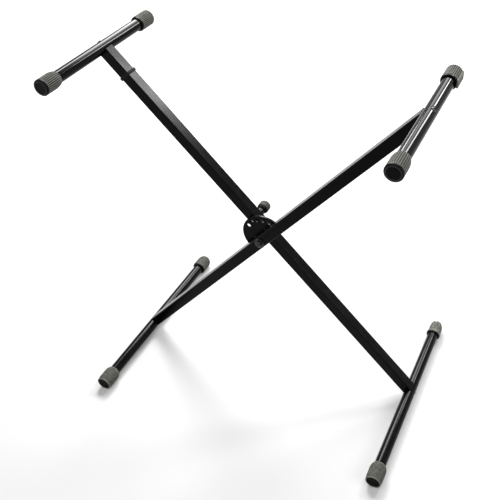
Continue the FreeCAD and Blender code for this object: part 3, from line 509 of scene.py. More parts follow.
def shared_group(name):
    return bpy.data.node_groups.get(name) or GROUP_MAKERS[name]()


# ---------------------------------------------------------------- materials
DUST_COLOUR = (0.30, 0.29, 0.27)


def scaled(colour, factor):
    return tuple(min(1.0, channel * factor) for channel in colour)


class Finish:
    """A material under construction: its node tree and its Principled shader."""

    def __init__(self, name, roughness, metallic=0.0, specular=0.5):
        self.material = bpy.data.materials.new(name)
        self.material.use_nodes = True
        self.tree = self.material.node_tree
        self.shader = self.tree.nodes["Principled BSDF"]
        self.shader.inputs["Roughness"].default_value = roughness
        self.shader.inputs["Metallic"].default_value = metallic
        self.shader.inputs["Specular IOR Level"].default_value = specular
        coordinates = self.tree.nodes.new("ShaderNodeTexCoord")
        self.place = coordinates.outputs["Object"]

    def group(self, name, vector=None, **values):
        node = self.tree.nodes.new("ShaderNodeGroup")
        node.node_tree = shared_group(name)
        self.tree.links.new(vector or self.place, node.inputs["Vector"])
        for key, value in values.items():
            node.inputs[key.replace("_", " ").title()].default_value = value
        return node

    def stretched(self, scale):
        """The place, drawn out along one axis by a scale of three numbers."""
        node = self.tree.nodes.new("ShaderNodeMapping")
        node.inputs["Scale"].default_value = scale
        self.tree.links.new(self.place, node.inputs["Vector"])
        return node.outputs["Vector"]

    def attribute(self, name):
        node = self.tree.nodes.new("ShaderNodeAttribute")
        node.attribute_name = name
        return node.outputs["Fac"]

    def mixed(self, mask, first, second):
        """A colour between two, each a colour or a socket."""
        node = self.tree.nodes.new("ShaderNodeMix")
        node.data_type = "RGBA"
        self.tree.links.new(mask, node.inputs["Factor"])
        for key, value in (("A", first), ("B", second)):
            socket = next(s for s in node.inputs if s.name == key and s.type == "RGBA")
            if isinstance(value, bpy.types.NodeSocket):
                self.tree.links.new(value, socket)
            else:
                socket.default_value = (*value, 1.0)
        return next(s for s in node.outputs if s.type == "RGBA")

    def shaded(self, mask, colour, darkest, lightest):
        """A colour that runs between two shades of itself."""
        return self.mixed(mask, scaled(colour, darkest), scaled(colour, lightest))

    def under_dust(self, colour, amount):
        """A colour with dust where the surface looks up."""
        dust = self.group("Dust", amount=amount)
        return self.mixed(dust.outputs["Mask"], colour, DUST_COLOUR)

    def colour(self, socket):
        self.tree.links.new(socket, self.shader.inputs["Base Color"])

    def roughness(self, mask, middle, lowest, highest):
        """A roughness that runs between two shares of its middle value."""
        self.tree.links.new(
            ramp_node(self.tree, mask, 0.0, 1.0, middle * lowest, middle * highest),
            self.shader.inputs["Roughness"])

    def bump(self, height, distance):
        node = self.tree.nodes.new("ShaderNodeBump")
        node.inputs["Distance"].default_value = distance
        node.inputs["Strength"].default_value = 1.0
        self.tree.links.new(height, node.inputs["Height"])
        self.tree.links.new(node.outputs["Normal"], self.shader.inputs["Normal"])


def painted(name, colour, roughness, specular, peel_scale, peel_height, dust):
    """Paint on steel: orange peel, an uneven gloss, fine scratches and a little dust."""
    finish = Finish(name, roughness, specular=specular)
    mottle = finish.group("Mottle", broad_scale=11.0, fine_scale=peel_scale)
    scratches = finish.group("Scratches", scale=70.0, amount=0.35)
    base = finish.shaded(mottle.outputs["Broad"], colour, darkest=0.85, lightest=1.2)
    bared = scaled(colour, 6.0)
    scratched = finish.mixed(scratches.outputs["Mask"], base, bared)
    finish.colour(finish.under_dust(scratched, dust))
    finish.roughness(mottle.outputs["Broad"], roughness, lowest=0.85, highest=1.2)
    finish.bump(mottle.outputs["Fine"], peel_height)
    return finish.material


def leg_paint(colours):
    return painted(
        "Satin black powder coat", colours.leg_black, roughness=0.2, specular=0.06,
        peel_scale=700.0, peel_height=0.015 * MM, dust=0.02)


def bar_enamel(colours):
    return painted(
        "Gloss black enamel", colours.bar_black, roughness=0.08, specular=0.07,
        peel_scale=260.0, peel_height=0.002 * MM, dust=0.01)


def relief_rubber(
    name, light, dark, roughness, dust, patch_scale=40.0, darkest=0.86, lightest=1.12
):
    """Moulded rubber that is darker in its grooves, partly dirt and partly painted shade, with patches that run
    from a darkest to a lightest shade. On the plugs the lighter colour is a painted highlight on the rim."""
    finish = Finish(name, roughness, specular=0.07)
    mottle = finish.group("Mottle", broad_scale=patch_scale, fine_scale=1800.0)
    top = finish.shaded(mottle.outputs["Broad"], light, darkest, lightest)
    # Darker where the relief attribute is high: painted shade, with some dirt, in grooves and recesses.
    grooved = finish.mixed(finish.attribute("relief"), top, dark)
    finish.colour(finish.under_dust(grooved, dust))
    finish.roughness(mottle.outputs["Broad"], roughness, lowest=0.88, highest=1.1)
    finish.bump(mottle.outputs["Fine"], distance=0.08 * MM)
    return finish.material


def fluted_rubber(colours):
    return relief_rubber(
        "Fluted grey rubber", colours.fluted_grey, colours.fluted_shade_and_dirt, roughness=0.62,
        dust=0.12)


def knurled_rubber(colours):
    return relief_rubber(
        "Knurled grey rubber", colours.knurled_grey, colours.knurled_shade_and_dirt, roughness=0.6,
        dust=0.1, patch_scale=240.0, darkest=0.6, lightest=1.35)


def levelling_rubber(colours):
    return relief_rubber(
        "Pale knurled rubber", colours.level_grey, colours.knurled_shade_and_dirt, roughness=0.55,
        dust=0.3, patch_scale=230.0, darkest=0.3, lightest=1.6)


def knob_plastic(colours):
    return relief_rubber(
        "Ribbed knob plastic", colours.knob, colours.plastic, roughness=0.45, dust=0.2)


# Plugs: a painted highlight on the rim, over black plastic.
def plug_plastic(colours):
    return relief_rubber(
        "Plug with a rubbed rim", colours.rim_highlight, colours.plastic, roughness=0.34,
        dust=0.0)


def moulded(name, colour, roughness, grain, specular=0.06):
    """Moulded plastic or rubber with a fine grain and rubbed patches."""
    finish = Finish(name, roughness, specular=specular)
    mottle = finish.group("Mottle", broad_scale=60.0, fine_scale=1500.0)
    base = finish.shaded(mottle.outputs["Broad"], colour, darkest=0.8, lightest=1.5)
    finish.colour(finish.under_dust(base, amount=0.08))
    finish.roughness(mottle.outputs["Broad"], roughness, lowest=0.8, highest=1.15)
    finish.bump(mottle.outputs["Fine"], grain)
    return finish.material


def black_plastic(colours):
    return moulded(
        "Moulded black plastic", colours.plastic, roughness=0.3, grain=0.02 * MM,
        specular=0.08)


def band_rubber(colours):
    return moulded("Black rubber", colours.rubber, roughness=0.6, grain=0.1 * MM)


def nylon(colours):
    return moulded("Natural nylon", colours.nylon, roughness=0.4, grain=0.03 * MM)


def plated(name, colour, roughness):
    """Plated steel: cloudy, finely brushed and dulled in patches."""
    finish = Finish(name, roughness, metallic=1.0)
    mottle = finish.group("Mottle", broad_scale=160.0, fine_scale=2600.0)
    brushed = finish.group(
        "Scratches", vector=finish.stretched((1.0, 0.15, 1.0)), scale=420.0, amount=0.8)
    clouded = finish.shaded(mottle.outputs["Broad"], colour, darkest=0.82, lightest=1.08)
    dulled = scaled(colour, 0.6)
    finish.colour(finish.mixed(brushed.outputs["Mask"], clouded, dulled))
    finish.roughness(mottle.outputs["Broad"], roughness, lowest=0.8, highest=1.3)
    finish.bump(mottle.outputs["Fine"], distance=0.02 * MM)
    return finish.material


def zinc_plate(colours):
    return plated("Bright zinc plate", colours.zinc, roughness=0.3)


def dark_plate(colours):
    return plated("Dark plated steel", colours.dark_steel, roughness=0.38)


MATERIAL_MAKERS = {
    "satin_black": leg_paint,
    "gloss_black": bar_enamel,
    "grey_rubber": fluted_rubber,
    "knurled_rubber": knurled_rubber,
    "levelling_rubber": levelling_rubber,
    "black_plastic": black_plastic,
    "plug": plug_plastic,
    "black_rubber": band_rubber,
    "zinc": zinc_plate,
    "dark_steel": dark_plate,
    "knob": knob_plastic,
    "nylon": nylon,
}
made_materials = {}


def material_for(finish):
    """The material of a finish, made the first time that a piece asks for it."""
    if finish not in made_materials:
        made_materials[finish] = MATERIAL_MAKERS[finish](bpy.context.scene.stand_colours)
    return made_materials[finish]


# ---------------------------------------------------------------- edges and patterns
FADE = 1.0 * MM                 # along Y, from a plain ring to a pattern's full depth
OVERCUT = 1.0 * MM              # how far a cutter passes the face that it cuts
TIGHT_EDGE = 0.3 * MM           # roundings of small edges
SOFT_EDGE = 0.4 * MM
BROAD_EDGE = 0.8 * MM
FLUTE_STEPS = 8                 # faces across one flute
KNURL_STEPS = 6                 # faces across one diamond
KNURL_RING = 0.62 * MM          # longest ring of faces under a knurl


def smooth_step(value):
    """A value held between 0 and 1, with a soft start and end."""
    level = min(1.0, max(0.0, value))
    return level * level * (3 - 2 * level)


def flute_relief(count):
    """Round-edged flutes: 0 on a rib and 1 in a groove."""
    flat = 0.25                 # of the wave, on a rib and again in a groove

    def relief(angle, y):
        wave = 0.5 - 0.5 * math.cos(count * angle)
        return smooth_step((wave - flat) / (1 - 2 * flat))
    return relief


def fading_share(inside, start, end, fade):
    """A share that is 1 between two stations and fades at both, on the outside only."""
    def share(point):
        if point.x < inside:
            return 0.0
        depth_in = min(point.y - start, end - point.y) / fade
        return min(1.0, max(0.0, depth_in))
    return share


# ---------------------------------------------------------------- caps of the top bars
def near_bar_cap(name):
    """A fluted sleeve that draws in to the tube, over the black plug's head."""
    sizes = bpy.context.scene.stand_sizes
    centre = middle_of(name)
    start, end = span_of(name)
    radius = reach_of(name)
    bore = TUBE_RADIUS
    thin = bore + sizes.thin_lip
    shoulder_start = end - sizes.shoulder
    edge = sizes.edge_round
    longest_ring = 1.5 * MM
    outline = smooth_outline([
        (bore, start, 0.0),
        (radius, start, edge),
        *drawn_in(radius, shoulder_start, thin, end),
        (bore, end, edge),
        (bore, (start + end) / 2, 0.0),
    ])
    share = fading_share(
        inside=thin - SOFT_EDGE, start=start + sizes.flute_end, end=end + FADE, fade=FADE)
    return lathe(
        name + "_moulding", divided(outline, longest_ring), centre,
        sizes.flutes * FLUTE_STEPS, flute_relief(sizes.flutes), sizes.flute_depth, share)


def near_bar_plug(name):
    """The dished black head that closes a near cap, with its stem in the tube and a painted highlight on its rim.
    """
    sizes = bpy.context.scene.stand_sizes
    centre = middle_of(name)
    face, stem_end = span_of(name)
    radius = reach_of(name)
    head_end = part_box(name.replace("plug", "cap"))[0].y
    rim_inner = radius - sizes.plug_round - sizes.plug_rim
    floor = face + sizes.plug_dish
    stem_inset = 1.6 * MM       # the tube's wall and a little room
    stem_wall = 1.5 * MM
    stem = TUBE_RADIUS - stem_inset
    stem_bore = stem - stem_wall
    floor_edge = 1.2 * MM
    head_edge = 0.2 * MM
    longest_ring = 1.0 * MM
    outline = smooth_outline([
        (0.0, floor, 0.0),
        (rim_inner - sizes.plug_dish, floor, floor_edge),
        (rim_inner, face, BROAD_EDGE),
        (radius, face, sizes.plug_round),
        (radius, head_end, head_edge),
        (stem, head_end, 0.0),
        (stem, stem_end, SOFT_EDGE),
        (stem_bore, stem_end, SOFT_EDGE),
        (stem_bore, head_end, 0.0),
        (0.0, head_end, 0.0),
    ])
    rim_middle = rim_inner + sizes.plug_rim / 2

    # Painted highlight: the rim takes the lighter colour and the rest the black plastic.
    def tone(angle, point):
        on_rim = abs(point.x - rim_middle) < sizes.plug_rim and point.y < floor
        return 0.0 if on_rim else 1.0

    return lathe(
        name + "_moulding", divided(outline, longest_ring), centre, sizes.segments,
        tone=tone)


def far_bar_cap(name, tube):
    """A fluted sleeve with a closed, rounded end."""
    sizes = bpy.context.scene.stand_sizes
    centre = middle_of(tube)
    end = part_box(name)[1].y
    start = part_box(name.replace("cap", "collar"))[1].y
    radius = reach_of(name.replace("far_cap", "near_cap"))
    inner_end = end - sizes.end_wall
    plain_share = 0.6           # of the rounding, that the flutes don't reach
    longest_ring = 3 * MM
    outline = smooth_outline([
        (0.0, end, 0.0),
        (radius, end, sizes.far_round),
        (radius, start, sizes.edge_round),
        (TUBE_RADIUS, start, 0.0),
        (TUBE_RADIUS, inner_end, 0.0),
        (0.0, inner_end, 0.0),
    ], steps=8)
    share = fading_share(
        inside=radius - sizes.far_round, start=start + sizes.flute_end,
        end=end - sizes.far_round * plain_share, fade=FADE)
    return lathe(
        name + "_moulding", divided(outline, longest_ring), centre,
        sizes.flutes * FLUTE_STEPS, flute_relief(sizes.flutes), sizes.flute_depth, share)


def add_lip(cap, name, tube):
    """A flat lip on the outer side of a far cap, past its mouth."""
    sizes = bpy.context.scene.stand_sizes
    centre = middle_of(tube)
    low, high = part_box(name)
    outer = high.x
    start = low.y
    lip_end = high.y - sizes.far_round
    rounded_share = 0.45        # of the lip's thickness, at each edge
    lip = soft_box(
        "lip",
        (outer - sizes.lip_thickness, start, centre.z - sizes.lip_width / 2),
        (outer, lip_end, centre.z + sizes.lip_width / 2),
        sizes.lip_thickness * rounded_share,
        steps=4,
    )
    combine(cap, lip, "UNION")
    return shade_flats(cap)


def mouth_shade_collar(name, tube):
    """The rounded black ring at the mouth of a far cap, a black piece that paints the shade on the cap's mouth."""
    sizes = bpy.context.scene.stand_sizes
    centre = middle_of(tube)
    start, end = span_of(name)
    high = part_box(name)[1]
    radius = min(high.z - centre.z, high.x - centre.x)
    outline = smooth_outline([
        (TUBE_RADIUS, end, 0.0),
        (TUBE_RADIUS, start, SOFT_EDGE),
        (radius, start, sizes.collar_round),
        (radius, end, 0.0),
    ])
    return lathe(name + "_moulding", outline, centre, sizes.segments)


# ---------------------------------------------------------------- caps of the feet
def knurl_relief(count, pitch):
    """Two crossing sets of slanting grooves that leave diamonds."""
    half_groove = 0.26          # of the pitch

    def groove(turns):
        off = abs(turns - round(turns))
        return smooth_step(1.0 - off / half_groove)

    def relief(angle, y):
        around = count * angle / (2 * math.pi)
        along = y / pitch
        return max(groove(around + along), groove(around - along))
    return relief


def knurl_count(radius, pitch):
    return round(2 * math.pi * radius / pitch)


def near_foot_cap(name, tube):
    """A knurled barrel with a curved shoulder and a ring in its recessed end."""
    sizes = bpy.context.scene.stand_sizes
    centre = middle_of(tube)
    face, end = span_of(name)
    radius = reach_of(name)
    thin = TUBE_RADIUS + sizes.thin_lip
    shoulder_length = 13 * MM
    taper_length = 14 * MM
    taper_drop = 1.5 * MM
    rim_width = 2.6 * MM
    recess_depth = 2.2 * MM
    ring_outer = 9.5 * MM
    ring_width = 2.2 * MM
    ring_height = 1.2 * MM
    end_depth = 5.2 * MM        # from the face to the tube's end
    plain_end = 1.5 * MM        # without knurl, at the face and the thin end
    face_radius = radius - taper_drop
    rim_inner = face_radius - rim_width
    recess = face + recess_depth
    ring_inner = ring_outer - ring_width
    ring_face = recess - ring_height
    closed = face + end_depth
    outline = smooth_outline([
        (0.0, recess, 0.0),
        (ring_inner, recess, TIGHT_EDGE),
        (ring_inner, ring_face, SOFT_EDGE),
        (ring_outer, ring_face, SOFT_EDGE),
        (ring_outer, recess, TIGHT_EDGE),
        (rim_inner, recess, SOFT_EDGE),
        (rim_inner, face, BROAD_EDGE),
        (face_radius, face, sizes.edge_round),
        *reversed(drawn_in(radius, face + taper_length, face_radius, face + MM)[:-1]),
        *drawn_in(radius, end - shoulder_length, thin, end),
        (TUBE_RADIUS, end, sizes.edge_round),
        (TUBE_RADIUS, closed, 0.0),
        (0.0, closed, 0.0),
    ])
    count = knurl_count(radius, sizes.knurl_pitch)
    knurl = knurl_relief(count, sizes.knurl_pitch)
    skin = 0.2 * MM
    share = fading_share(
        inside=thin - skin, start=face + plain_end, end=end - plain_end, fade=FADE)
    recess_edge = rim_inner + 0.1 * MM

    # Painted shade: the whole recess in the end takes the dark colour.
    def tone(angle, point):
        in_recess = point.x < recess_edge and point.y < closed
        return 1.0 if in_recess else share(point) * knurl(angle, point.y)

    return lathe(
        name + "_moulding", divided(outline, KNURL_RING), centre, count * KNURL_STEPS,
        knurl, sizes.knurl_depth, share, tone)


def far_foot_cap(name, tube):
    """A knurled cap whose outer end draws in to a rounded nose."""
    sizes = bpy.context.scene.stand_sizes
    centre = middle_of(tube)
    start, end = span_of(name)
    radius = reach_of(name)
    nose_length = 17 * MM
    nose_radius = 14.5 * MM
    nose_tip = 3 * MM           # from where the nose stops drawing in to the end
    end_radius = 11.5 * MM
    end_edge = 4 * MM
    end_wall = 5.2 * MM
    plain_mouth = 1.2 * MM      # without knurl
    plain_nose = 2 * MM
    skin = 0.2 * MM
    closed = end - end_wall
    outline = smooth_outline([
        (0.0, end, 0.0),
        (end_radius, end, end_edge),
        *reversed(drawn_in(radius, end - nose_length, nose_radius, end - nose_tip)),
        (radius, start, sizes.edge_round),
        (TUBE_RADIUS, start, 0.0),
        (TUBE_RADIUS, closed, 0.0),
        (0.0, closed, 0.0),
    ])
    count = knurl_count(radius, sizes.knurl_pitch)
    share = fading_share(
        inside=TUBE_RADIUS + skin, start=start + plain_mouth, end=end - plain_nose,
        fade=FADE)
    return lathe(
        name + "_moulding", divided(outline, KNURL_RING), centre, count * KNURL_STEPS,
        knurl_relief(count, sizes.knurl_pitch), sizes.knurl_depth, share)


def flats_relief(count, radius, depth, first):
    """Flat faces round a body: 1 at the middle of each flat."""
    def relief(angle, y):
        pitch = 2 * math.pi / count
        off = (angle - first + pitch / 2) % pitch - pitch / 2
        return max(0.0, min(1.0, (radius - (radius - depth) / math.cos(off)) / depth))
    return relief


def slot_cutter(centre, end, radius, turn):
    """What cuts the slot in a levelling cap's end, from its axis outwards."""
    depth = 5 * MM
    half_width = 2.5 * MM
    rounding = 0.6 * MM
    slot = soft_box(
        "slot", (0.0, end - depth, -half_width), (radius + OVERCUT, end + OVERCUT, half_width),
        rounding, steps=2)
    slot.matrix_world = Matrix.Translation(centre) @ Matrix.Rotation(-turn, 4, "Y")
    return slot


def mark_cutter(centre, y, reach, turn):
    """What cuts the round mark in a levelling cap's side."""
    depth = 3 * MM
    radius = 2.5 * MM
    rounding = 0.5 * MM
    outline = smooth_outline([
        (0.0, -depth, 0.0), (radius, -depth, rounding), (radius, depth, 0.0),
        (0.0, depth, 0.0)])
    mark = lathe("mark", outline, Vector((0, 0, 0)), segments=32)
    outward = Matrix.Rotation(-math.pi / 2, 4, "Z")
    mark.matrix_world = (
        Matrix.Translation(centre + Vector((0, y, 0))) @ Matrix.Rotation(-turn, 4, "Y")
        @ Matrix.Translation((reach, 0, 0)) @ outward)
    return mark


def levelling_cap(name, tube):
    """An eccentric cap with a rim, soft flats, a slot across its end and a mark."""
    sizes = bpy.context.scene.stand_sizes
    tube_centre = middle_of(tube)
    rim_radius = reach_of(name)
    centre = Vector((middle_of(name).x, 0, middle_of(name).z))
    start, end = span_of(name)
    rim_step = 1.0 * MM
    rim_length = 3 * MM
    neck_length = 1.5 * MM
    nose_length = 17 * MM
    nose_radius = 12 * MM
    rim_edge = 0.7 * MM
    body_edge = 0.5 * MM
    body_radius = rim_radius - rim_step
    rim_end = start + rim_length
    body_start = rim_end + neck_length
    nose_start = end - nose_length
    longest_ring = 0.7 * MM
    outline = smooth_outline([
        (0.0, start, 0.0),
        (rim_radius, start, rim_edge),
        (rim_radius, rim_end, rim_edge),
        (body_radius, body_start, body_edge),
        *drawn_in(body_radius, nose_start, nose_radius, end)[:-1],
        (nose_radius, end, 0.0),
        (0.0, end, 0.0),
    ])
    flat_count = 7
    flat_depth = 1.1 * MM
    thick_side = -math.pi / 2
    flats = flats_relief(flat_count, body_radius, flat_depth, thick_side)
    count = knurl_count(body_radius, sizes.knurl_pitch)
    knurl = knurl_relief(count, sizes.knurl_pitch)
    knurl_share = 0.25          # of a flat's depth

    def relief(angle, y):
        return flats(angle, y) + knurl_share * knurl(angle, y)

    share = fading_share(
        inside=8 * MM, start=body_start, end=end + OVERCUT, fade=1.5 * MM)

    # Painted shade, with some dirt, between the diamonds.
    def tone(angle, point):
        return share(point) * knurl(angle, point.y)

    cap = lathe(
        name + "_moulding", divided(outline, longest_ring), centre, count * KNURL_STEPS,
        relief, flat_depth, share, tone)
    end_wall = 8 * MM
    bore = smooth_outline([
        (0.0, start - OVERCUT, 0.0),
        (TUBE_RADIUS, start - OVERCUT, 0.0),
        (TUBE_RADIUS, end - end_wall, 0.0),
        (0.0, end - end_wall, 0.0),
    ])
    combine(cap, lathe("bore", bore, tube_centre, sizes.segments), "DIFFERENCE")
    slot_turn = thick_side + math.radians(-165.0)
    combine(cap, slot_cutter(centre, end, body_radius, slot_turn), "DIFFERENCE")
    mark_turn = thick_side + math.radians(-135.0)
    mark_y = (body_start + nose_start) / 2
    mark = mark_cutter(centre, mark_y, body_radius - flat_depth, mark_turn)
    combine(cap, mark, "DIFFERENCE")
    return shade_flats(cap)


# ---------------------------------------------------------------- leg, disc and lock
def leg_band(name):
    """A rubber band round a square leg, with a rounded section."""
    sizes = bpy.context.scene.stand_sizes
    direction = direction_of("left_top_bar")
    along = Vector((math.cos(direction), 0, math.sin(direction)))
    upward = Vector((math.sin(direction), 0, -math.cos(direction)))
    sideways = Vector((0, 1, 0))
    low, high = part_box(name)
    centre = (low + high) / 2
    outer = (high.y - low.y) / 2
    leg_low, leg_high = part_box("rear_leg_tube")
    inner = (leg_high.y - leg_low.y) / 2
    thickness = outer - inner
    half_length = 3.5 * MM
    edge_drop = 0.5 * MM
    crown_round = 3.0 * MM
    section = smooth_outline([
        (0.0, -half_length, 0.0),
        (thickness - edge_drop, -half_length, BROAD_EDGE),
        (thickness, 0.0, crown_round),
        (thickness - edge_drop, half_length, BROAD_EDGE),
        (0.0, half_length, 0.0),
    ])
    mesh = bmesh.new()
    rows = []
    corner = sizes.leg_corner
    steps = 8
    for quarter in range(4):
        side = math.pi / 2 * quarter + math.pi / 4
        corner_place = (
            sideways * math.copysign(inner - corner, math.cos(side))
            + upward * math.copysign(inner - corner, math.sin(side)))
        for i in range(steps + 1):
            turn = math.pi / 2 * (quarter + i / steps)
            outward = sideways * math.cos(turn) + upward * math.sin(turn)
            start = centre + corner_place + outward * corner
            rows.append([
                mesh.verts.new(start + outward * point.x + along * point.y)
                for point in section])
    rows.append(rows[0])
    for low_row, high_row in zip(rows, rows[1:]):
        for i in range(len(section)):
            j = (i + 1) % len(section)
            mesh.faces.new((low_row[i], low_row[j], high_row[j], high_row[i]))
    return finished_mesh(name + "_moulding", mesh)


def hole_cutter(centre, front, back):
    """What cuts one locking hole, and breaks its edges."""
    sizes = bpy.context.scene.stand_sizes
    edge = sizes.metal_round
    outline = smooth_outline([
        (0.0, front - OVERCUT, 0.0),
        (sizes.disc_hole + OVERCUT + edge, front - OVERCUT, 0.0),
        (sizes.disc_hole, front + edge, TIGHT_EDGE),
        (sizes.disc_hole, back - edge, TIGHT_EDGE),
        (sizes.disc_hole + OVERCUT + edge, back + OVERCUT, 0.0),
        (0.0, back + OVERCUT, 0.0),
    ])
    return lathe("hole", outline, centre, segments=40)


def locking_disc(name):
    """Half a steel disc with broken edges, and a hole for each angle of the fold."""
    sizes = bpy.context.scene.stand_sizes
    front, back = span_of(name)
    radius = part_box(name)[1].z - PIVOT.z
    edge = sizes.metal_round
    plate = smooth_outline([
        (0.0, front, 0.0), (radius, front, edge), (radius, back, edge), (0.0, back, 0.0)])
    disc = lathe(name + "_plate", plate, PIVOT, segments=144)
    pin = middle_of("lock_pin") - PIVOT
    circle = math.hypot(pin.x, pin.z)
    first, last = (math.radians(limit) for limit in FOLD["range_deg"])
    places = round((last - first) / sizes.disc_pitch) + 1
    for i in range(places):
        angle = math.atan2(pin.z, pin.x) - first - i * sizes.disc_pitch
        centre = PIVOT + Vector((math.cos(angle), 0, math.sin(angle))) * circle
        combine(disc, hole_cutter(centre, front, back), "DIFFERENCE")
    far = 2 * radius
    waste = soft_box(
        "waste", (-far, front - OVERCUT, -far), (far, back + OVERCUT, -sizes.disc_tail),
        rounding=0.1 * MM, steps=1)
    turn = direction_of("right_top_bar")
    waste.matrix_world = (
        Matrix.Translation((PIVOT.x, 0, PIVOT.z)) @ Matrix.Rotation(-turn, 4, "Y"))
    combine(disc, waste, "DIFFERENCE")
    return shade_flats(disc)


def pull_knob(name):
    """A ribbed knob with a bevelled face towards the leg."""
    sizes = bpy.context.scene.stand_sizes
    centre = middle_of("lock_pin")
    face, end = span_of(name)
    radius = reach_of(name)
    rod_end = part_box("lock_pin")[1].y
    rod_radius = 2.6 * MM
    face_radius = 9.5 * MM
    groove = 0.8 * MM
    groove_slope = 0.3 * MM
    bevel_length = 3 * MM
    bevel_edge = 0.5 * MM
    groove_edge = 0.2 * MM
    grip_edge = 0.6 * MM
    end_edge = 3 * MM
    rib_depth = 0.9 * MM
    rib_steps = 10
    rib_fade = 0.8 * MM
    rib_start = 0.3 * MM        # past the grip's front edge
    rib_stop = 1.2 * MM         # short of the knob's end
    longest_ring = 1.0 * MM
    bevel_end = face + bevel_length
    grip_start = bevel_end + 2 * groove
    outline = smooth_outline([
        (0.0, rod_end, 0.0),
        (rod_radius, rod_end, 0.0),
        (rod_radius, face, TIGHT_EDGE),
        (face_radius, face, BROAD_EDGE),
        (radius - groove, bevel_end, bevel_edge),
        (radius - 2 * groove, bevel_end + groove_slope, groove_edge),
        (radius - 2 * groove, grip_start, groove_edge),
        (radius, grip_start, grip_edge),
        (radius, end, end_edge),
        (0.0, end, 0.0),
    ])
    share = fading_share(
        inside=radius - end_edge, start=grip_start + rib_start, end=end - rib_stop,
        fade=rib_fade)
    ribs = flute_relief(sizes.knob_ribs)

    # The face, its bevel and the groove behind it take the dark colour all over; between the ribs it is painted
    # shade, with some dirt.
    def tone(angle, point):
        return 1.0 if point.y < grip_start else share(point) * ribs(angle, point.y)

    return lathe(
        name + "_moulding", divided(outline, longest_ring), centre,
        sizes.knob_ribs * rib_steps, ribs, rib_depth, share, tone)


# ---------------------------------------------------------------- operators
class STAND_OT_frame_finish(bpy.types.Operator):
    """Finish the metal pieces that keep the frame's own shape"""
    bl_idname = "stand.frame_finish"
    bl_label = "Frame finishes"

    def execute(self, context):
        for part in frame["record"]["subparts"]:
            node = frame["nodes"][part["node"]]
            material = material_for(part["material_slot"])
            if not node.material_slots:
                node.data.materials.append(material)
            for slot in node.material_slots:
                slot.link = "OBJECT"
                slot.material = material
        for slot in frame["nodes"]["disc_welds"].material_slots:
            slot.material = material_for("gloss_black")
        return {"FINISHED"}


class STAND_OT_bar_caps(bpy.types.Operator):
    """Make the fluted caps, plugs and black collars of the two top bars; the collars paint the shade at the far
    caps' mouths
    """
    bl_idname = "stand.bar_caps"
    bl_label = "Top bar caps"

    def execute(self, context):
        grey = material_for("grey_rubber")
        black = material_for("black_plastic")
        for tube, body in (("right_top_bar", FRONT_BODY), ("left_top_bar", REAR_BODY)):
            near = tube + "_near_cap"
            plug = tube + "_near_plug"
            far = tube + "_far_cap"
            collar = tube + "_far_collar"
            far_cap = far_bar_cap(far, tube)
            if tube == "right_top_bar":
                far_cap = add_lip(far_cap, far, tube)
            add_piece(near_bar_cap(near), grey, body, "grey_rubber", near)
            add_piece(
                near_bar_plug(plug), material_for("plug"), body, "black_plastic", plug)
            add_piece(far_cap, grey, body, "grey_rubber", far)
            # Painted shade: a black collar at the far cap's mouth.
            add_piece(mouth_shade_collar(collar, tube), black, body, "black_plastic", collar)
        return {"FINISHED"}


class STAND_OT_lock(bpy.types.Operator):
    """Make the locking disc, the pull knob and the band on the rear leg"""
    bl_idname = "stand.lock"
    bl_label = "Disc, knob and band"

    def execute(self, context):
        add_piece(
            locking_disc("locking_disc"), material_for("satin_black"), FRONT_BODY,
            "satin_black", "locking_disc")
        add_piece(
            pull_knob("lock_knob"), material_for("knob"), PIN_BODY, "black_plastic",
            "lock_knob")
        add_piece(
            leg_band("rear_leg_band"), material_for("black_rubber"), REAR_BODY,
            "black_rubber", "rear_leg_band")
        return {"FINISHED"}


class STAND_OT_foot_caps(bpy.types.Operator):
    """Make the knurled caps and black collars of the two feet; the collars paint the shade at the far caps' mouths
    """
    bl_idname = "stand.foot_caps"
    bl_label = "Foot caps"

    def execute(self, context):
        grey = material_for("knurled_rubber")
        black = material_for("black_plastic")
        for foot, body in (("left_foot", FRONT_BODY), ("right_foot", REAR_BODY)):
            near = foot + "_near_cap"
            collar = foot + "_far_collar"
            tube = foot + "_tube"
            add_piece(near_foot_cap(near, tube), grey, body, "grey_rubber", near)
            # Painted shade: a black collar at the far cap's mouth.
            add_piece(mouth_shade_collar(collar, tube), black, body, "black_plastic", collar)
        far = "left_foot_far_cap"
        add_piece(
            far_foot_cap(far, "left_foot_tube"), grey, FRONT_BODY, "grey_rubber", far)
        level = "levelling_cap"
        add_piece(
            levelling_cap(level, "right_foot_tube"), material_for("levelling_rubber"),
            LEVEL_BODY, "grey_rubber", level)
        return {"FINISHED"}


UPRIGHT = (0, 0, 1)
ALONG_Y = (0, 1, 0)


class Lamp(NamedTuple):
    """A flat rectangular lamp: the setting that holds its watts, its place and size."""
    watts: str
    place: tuple
    width: float
    length: float
    along: tuple                # its length runs as near along this as it can


LAMPS = {
    "key_light": Lamp("key_watts", (-0.9, 1.5, 2.0), 0.9, 1.0, UPRIGHT),
    "back_light": Lamp("back_watts", (0.0, 1.65, 2.0), 0.7, 1.0, UPRIGHT),
    "side_light": Lamp("side_watts", (0.77, 1.56, 1.82), 0.3, 0.6, UPRIGHT),
    "front_light": Lamp("front_watts", (0.2, -1.2, 2.7), 1.4, 1.4, ALONG_Y),
    "fill_light": Lamp("fill_watts", (2.0, -0.2, 1.3), 0.8, 0.8, ALONG_Y),
}
FLOOR_REACH = 8.0               # metres, from the middle to each side
FLOOR_GLOW = (0.12, 0.8)        # seen from the camera, near the stand and far from it
GLOW_DISTANCES = (0.9, 3.0)     # metres


def aim(thing, target, along):
    """Face a target, with the thing's own Y as near along a direction as it can be."""
    back = (thing.location - Vector(target)).normalized()
    across = Vector(along).cross(back).normalized()
    axes = Matrix((across, back.cross(across), back)).transposed()
    thing.rotation_mode = "QUATERNION"
    thing.rotation_quaternion = axes.to_quaternion()


